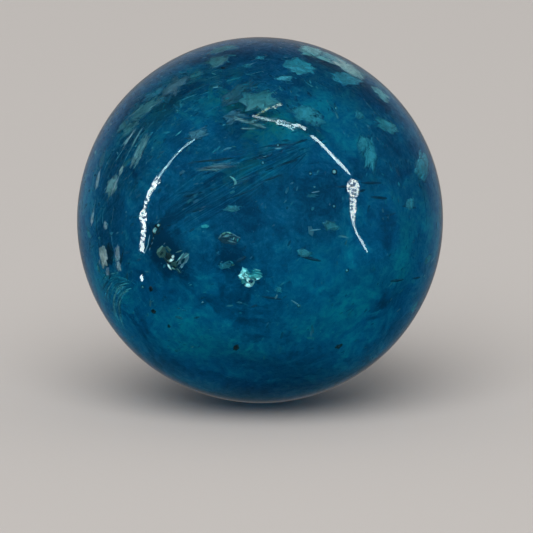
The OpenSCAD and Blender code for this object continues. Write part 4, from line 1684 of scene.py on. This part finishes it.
@dataclass(frozen=True)
class Viewpoint:
    """Where the camera stands, and the directions seen from it.

    It looks at the ball from some degrees above, moved a little to the right of its middle and below it. Ball
    share is the ball's width as a share of the view's.
    """

    up: float = 11.0
    distance: float = 0.5
    ball_share: float = 0.688
    right: float = 0.035 * BALL_RADIUS
    down: float = 0.254 * BALL_RADIUS

    def axes(self) -> tuple[Vector, Vector, Vector]:
        """The camera's directions.

        Returns:
            Its right, its up and the way back to it.
        """
        back = Vector(outward(0.0, self.up))
        right = Vector((1, 0, 0))
        return right, back.cross(right), back

    def place_camera(self) -> None:
        """Makes the scene's camera."""
        right, upward, back = self.axes()
        data = bpy.data.cameras.new("camera")
        view_width = 2 * BALL_RADIUS / self.ball_share
        data.sensor_width = 36
        data.lens = data.sensor_width * self.distance / view_width
        data.clip_start = 0.01
        data.clip_end = 20
        camera = bpy.data.objects.new("camera", data)
        place = back * self.distance + right * self.right - upward * self.down
        camera.matrix_world = placed(place, right, upward, back)
        bpy.context.scene.collection.objects.link(camera)
        bpy.context.scene.camera = camera

    def mirrored(self, across: float, above: float, distance: float) -> np.ndarray:
        """The place whose mirror image shows at a spot on the ball's face.

        A spot at height h over the plane through the middle is drawn towards the camera's own line by h / its
        distance. The surface there faces n, the way to the camera is v, and the light comes along
        2 (n.v) n - v.

        Args:
            across: How far right of the middle of the ball the spot shows, as a share of its radius.
            above: How far above it.
            distance: How far the place lies from the ball's surface.

        Returns:
            The place.
        """
        right, upward, back = (np.array(axis) for axis in self.axes())
        height = np.sqrt(1 - across ** 2 - above ** 2) * BALL_RADIUS / self.distance
        across -= (across - self.right / BALL_RADIUS) * height
        above -= (above + self.down / BALL_RADIUS) * height
        n = right * across + upward * above + back * np.sqrt(1 - across ** 2 - above ** 2)
        v = back * self.distance + right * self.right - upward * self.down - n * BALL_RADIUS
        v /= np.linalg.norm(v)
        return n * BALL_RADIUS + (2 * (n @ v) * n - v) * distance


COOL: Colour = (0.75, 0.97, 1.0)
THIN: Colour = (0.50, 0.93, 1.0)
WARM: Colour = (0.88, 1.0, 0.96)
LIME: Colour = (0.85, 1.0, 0.55)
MINT: Colour = (0.8, 1.0, 0.8)


@dataclass(frozen=True)
class Strip:
    """A narrow lamp that only mirrors in the glass, given by where its image lies on the ball's face.

    Its ends and its width are shares of the ball's radius. Holes are the numbers of dark spots in it, along
    and across. Spot is their radius as a share of their spacing, and edge is how soft they are. Gloom is the
    share of light left in them, and brim is the share between them.
    """

    start: tuple[float, float]
    end: tuple[float, float]
    width: float
    holes: tuple[float, float] = (0.0, 0.0)
    oval: bool = False
    colour: Colour = COOL
    radiance: float = 15.0
    distance: float = 0.15
    spot: float = 0.34
    edge: float = 0.07
    gloom: float = 0.08
    brim: float = 1.15

    def build(self, view: Viewpoint, name: str) -> None:
        """Makes the lamp, whose mirror image has the strip's ends and width.

        Its power is pi * its area * the radiance.

        Args:
            view: The viewpoint that the image is seen from.
            name: The lamp's name.
        """
        a, b = np.array(self.start), np.array(self.end)
        along = (b - a) / np.linalg.norm(b - a)
        side = np.array([-along[1], along[0]]) * self.width / 2
        ends = [view.mirrored(*spot, self.distance) for spot in (a, b)]
        edges = [view.mirrored(*((a + b) / 2 + side * way), self.distance) for way in (-1, 1)]
        middle = Vector(view.mirrored(*((a + b) / 2), self.distance))
        facing = middle.normalized()
        run = Vector(ends[1] - ends[0])
        x = (run - facing * run.dot(facing)).normalized()
        data = bpy.data.lights.new(name, "AREA")
        data.shape = "ELLIPSE" if self.oval else "RECTANGLE"
        data.size = run.length
        data.size_y = abs(Vector(edges[1] - edges[0]).dot(facing.cross(x)))
        share = np.pi / 4 if self.oval else 1.0
        data.energy = self.radiance * np.pi * data.size * data.size_y * share
        data.color = self.colour
        if self.holes[0]:
            self.pierce(data)
        lamp = bpy.data.objects.new(name, data)
        lamp.matrix_world = placed(middle, x, facing.cross(x), facing)
        for ray in ("camera", "diffuse", "transmission", "volume_scatter"):
            setattr(lamp, f"visible_{ray}", False)
        bpy.context.scene.collection.objects.link(lamp)

    def pierce(self, data: bpy.types.AreaLight) -> None:
        """Darkens the lamp in round spots, so many along it and across it.

        Args:
            data: The lamp's data.
        """
        data.use_nodes = True
        glow = next(node for node in data.node_tree.nodes if node.type == "EMISSION")
        nodes = Nodes(data.node_tree)
        place = nodes.add("NewGeometry").outputs["Parametric"]
        shift = (self.start[0] * 100, self.start[1] * 100, 0)
        spread = nodes.add("VectorMath", {"operation": "MULTIPLY_ADD"})
        nodes.fill(spread, place, (*self.holes, 1), shift)
        spots = nodes.add("TexVoronoi", {"voronoi_dimensions": "2D"}, Vector=spread.outputs[0], Scale=1.0,
                          Randomness=0.8)
        limits = (self.spot - self.edge, self.spot + self.edge, self.gloom, self.brim)
        nodes.put(nodes.span(spots.outputs["Distance"], *limits, "LINEAR"), glow.inputs["Strength"])


@dataclass
class Studio:
    """A plain pale floor, soft light from above and around, and narrow lamps that mirror in the glass.

    The room that mirrors in the glass has bands of colour, each given with its height from 0 to 1, and takes
    the floor's own colour behind the ball. Behind and rise are its light along the line of sight and by
    height, each as (low, high, light at low, light at high), where low and high lie between -1 and 1.
    """

    view: Viewpoint = field(default_factory=Viewpoint)
    pale: Colour = (0.553, 0.522, 0.497)
    bands: tuple[tuple[float, Colour], ...] = (
        (0.25, (0.24, 0.74, 0.98)), (0.42, (0.41, 0.63, 0.88)), (0.66, (0.48, 0.57, 0.66)),
    )
    behind: tuple[float, float, float, float] = (0.55, 1.0, 0.07, 0.48)
    rise: tuple[float, float, float, float] = (-0.55, 0.2, 0.32, 1.05)
    backdrop: tuple[float, float] = (0.88, 0.99)
    floor_size: float = 1.2
    fill_light: float = 0.5
    soft_light: float = 0.67
    softbox_size: float = 2.2
    softbox_distance: float = 2.2
    softbox_place: Place = (-6.0, 48.0)
    strips: tuple[Strip, ...] = (
        Strip((-0.358, 0.444), (-0.448, 0.378), 0.009, colour=THIN, radiance=9),
        Strip((-0.438, 0.388), (-0.524, 0.286), 0.010, colour=THIN, radiance=9),
        Strip((-0.515, 0.299), (-0.557, 0.239), 0.011, colour=THIN, radiance=10),
        Strip((-0.554, 0.238), (-0.582, 0.192), 0.040, (2.8, 2.2), True, WARM, 16, spot=0.39),
        Strip((-0.577, 0.205), (-0.598, 0.164), 0.028, (2.3, 0.8), False, WARM, 20, spot=0.39),
        Strip((-0.596, 0.169), (-0.618, 0.129), 0.023, (2.3, 0.6), False, WARM, 18, spot=0.39),
        Strip((-0.614, 0.134), (-0.629, 0.094), 0.019, (2.2, 0.5), False, WARM, 17, spot=0.39),
        Strip((-0.624, 0.099), (-0.637, 0.057), 0.015, (2.2, 0.5), False, WARM, 16, spot=0.38),
        Strip((-0.637, 0.055), (-0.647, -0.018), 0.046, (4.0, 2.4), True, WARM, 18, spot=0.39),
        Strip((-0.639, -0.010), (-0.640, -0.068), 0.030, (3.0, 1.2), False, WARM, 18, spot=0.39),
        Strip((-0.640, -0.062), (-0.652, -0.176), 0.026, (6.0, 0.4), False, WARM, 16, spot=0.39),
        Strip((-0.647, -0.303), (-0.651, -0.333), 0.020, oval=True, radiance=17),
        Strip((-0.040, 0.567), (0.060, 0.542), 0.012, radiance=6.5),
        Strip((0.045, 0.547), (0.110, 0.530), 0.009, radiance=5.5),
        Strip((0.094, 0.537), (0.205, 0.507), 0.025, (6.0, 1.4), radiance=12, spot=0.42),
        Strip((0.198, 0.523), (0.253, 0.496), 0.014, radiance=13),
        Strip((0.130, 0.518), (0.186, 0.490), 0.006, radiance=7),
        Strip((-0.020, 0.566), (0.060, 0.612), 0.009, (4.0, 0.7), False, LIME, 4.5, spot=0.39),
        Strip((0.076, 0.607), (0.120, 0.629), 0.022, (2.6, 1.4), False, MINT, 6, spot=0.39),
        Strip((0.283, 0.468), (0.411, 0.344), 0.015),
        Strip((0.398, 0.353), (0.495, 0.253), 0.017, oval=True, radiance=14.5),
        Strip((0.508, 0.230), (0.511, 0.128), 0.072, (4.6, 3.6), True, WARM, 15, spot=0.37),
        Strip((0.508, 0.136), (0.509, 0.040), 0.036, (4.6, 1.8), False, WARM, 16, spot=0.35),
        Strip((0.509, 0.046), (0.510, -0.006), 0.024, (2.6, 0.9), False, WARM, 16, spot=0.32),
        Strip((0.511, -0.006), (0.511, -0.027), 0.013, radiance=12),
        Strip((0.512, -0.030), (0.533, -0.078), 0.010, radiance=12),
        Strip((0.524, -0.064), (0.592, -0.182), 0.013, oval=True, radiance=12),
    )

    def light_world(self) -> None:
        """A world that lights evenly, that the camera sees as plain pale grey, and that mirrors as a room."""
        world = bpy.data.worlds.new("studio")
        bpy.context.scene.world = world
        world.use_nodes = True
        world.node_tree.nodes.clear()
        nodes = Nodes(world.node_tree)
        way = nodes.add("TexCoord").outputs["Generated"]
        height = nodes.add("SeparateXYZ", Vector=way).outputs["Z"]
        dot = nodes.add("VectorMath", {"operation": "DOT_PRODUCT"})
        away = nodes.fill(dot, way, tuple(-self.view.axes()[2])).outputs["Value"]
        rise = nodes.span(height, *self.rise, "LINEAR")
        light = nodes.maths("MULTIPLY", nodes.span(away, *self.behind), rise)
        hue = nodes.ramp(nodes.span(height, -1, 1, kind="LINEAR"), self.bands)
        hue = nodes.mixed(nodes.span(away, *self.backdrop, kind="LINEAR"), hue, self.pale)
        room = nodes.add("Background", Color=hue, Strength=light)
        even = nodes.add("Background", Color=(1, 1, 1), Strength=self.fill_light)
        plain = nodes.add("Background", Color=self.pale)
        rays = nodes.add("LightPath").outputs
        lit = nodes.fill(nodes.add("MixShader"), rays["Is Glossy Ray"], even.outputs[0], room.outputs[0])
        whole = nodes.fill(nodes.add("MixShader"), rays["Is Camera Ray"], lit.outputs[0], plain.outputs[0])
        nodes.add("OutputWorld", Surface=whole.outputs[0])

    def lay_floor(self) -> None:
        """A wide floor under the ball, in the backdrop's colour, which doesn't mirror in the glass."""
        half = self.floor_size / 2
        square = ((-half, -half), (half, -half), (half, half), (-half, half))
        mesh = bpy.data.meshes.new("floor")
        mesh.from_pydata([(x, y, CAD_BOX[0].z) for x, y in square], [], [(0, 1, 2, 3)])
        recipe = Recipe("floor")
        matt = recipe.add("BsdfPrincipled", Base_Color=self.pale, Roughness=0.9, Specular_IOR_Level=0.0)
        mesh.materials.append(recipe.finish(matt))
        floor = bpy.data.objects.new("floor", mesh)
        floor.visible_glossy = False
        bpy.context.scene.collection.objects.link(floor)

    def hang_softbox(self) -> None:
        """A large soft lamp above and behind the camera, that doesn't mirror in the glass.

        Its power is pi * pi * (radius^2 + distance^2) times the light that it gives on the ball.
        """
        data = bpy.data.lights.new("softbox", "AREA")
        data.shape = "DISK"
        data.size = self.softbox_size
        reach = (self.softbox_size / 2) ** 2 + self.softbox_distance ** 2
        data.energy = self.soft_light * np.pi * np.pi * reach
        lamp = bpy.data.objects.new("softbox", data)
        facing = Vector(outward(*self.softbox_place))
        turn = facing.to_track_quat("Z", "Y").to_matrix().to_4x4()
        lamp.matrix_world = Matrix.Translation(facing * self.softbox_distance) @ turn
        lamp.visible_camera = False
        lamp.visible_glossy = False
        bpy.context.scene.collection.objects.link(lamp)

    def build(self) -> None:
        """Sets the whole studio up."""
        bpy.context.scene.view_settings.view_transform = "Standard"
        self.view.place_camera()
        self.light_world()
        self.lay_floor()
        self.hang_softbox()
        for i, strip in enumerate(self.strips):
            strip.build(self.view, f"strip_{i}")


def main() -> None:
    """Builds the studio and the marble."""
    logging.basicConfig(level=logging.INFO, format="%(message)s")
    for part in (Studio, GlassBall, Cloud, MicaFlakes, Flecks, MicaClumps, Threads, Slits, PaintedBubbleHighlights, Grit):
        part().build()


if __name__ == "__main__":
    main()
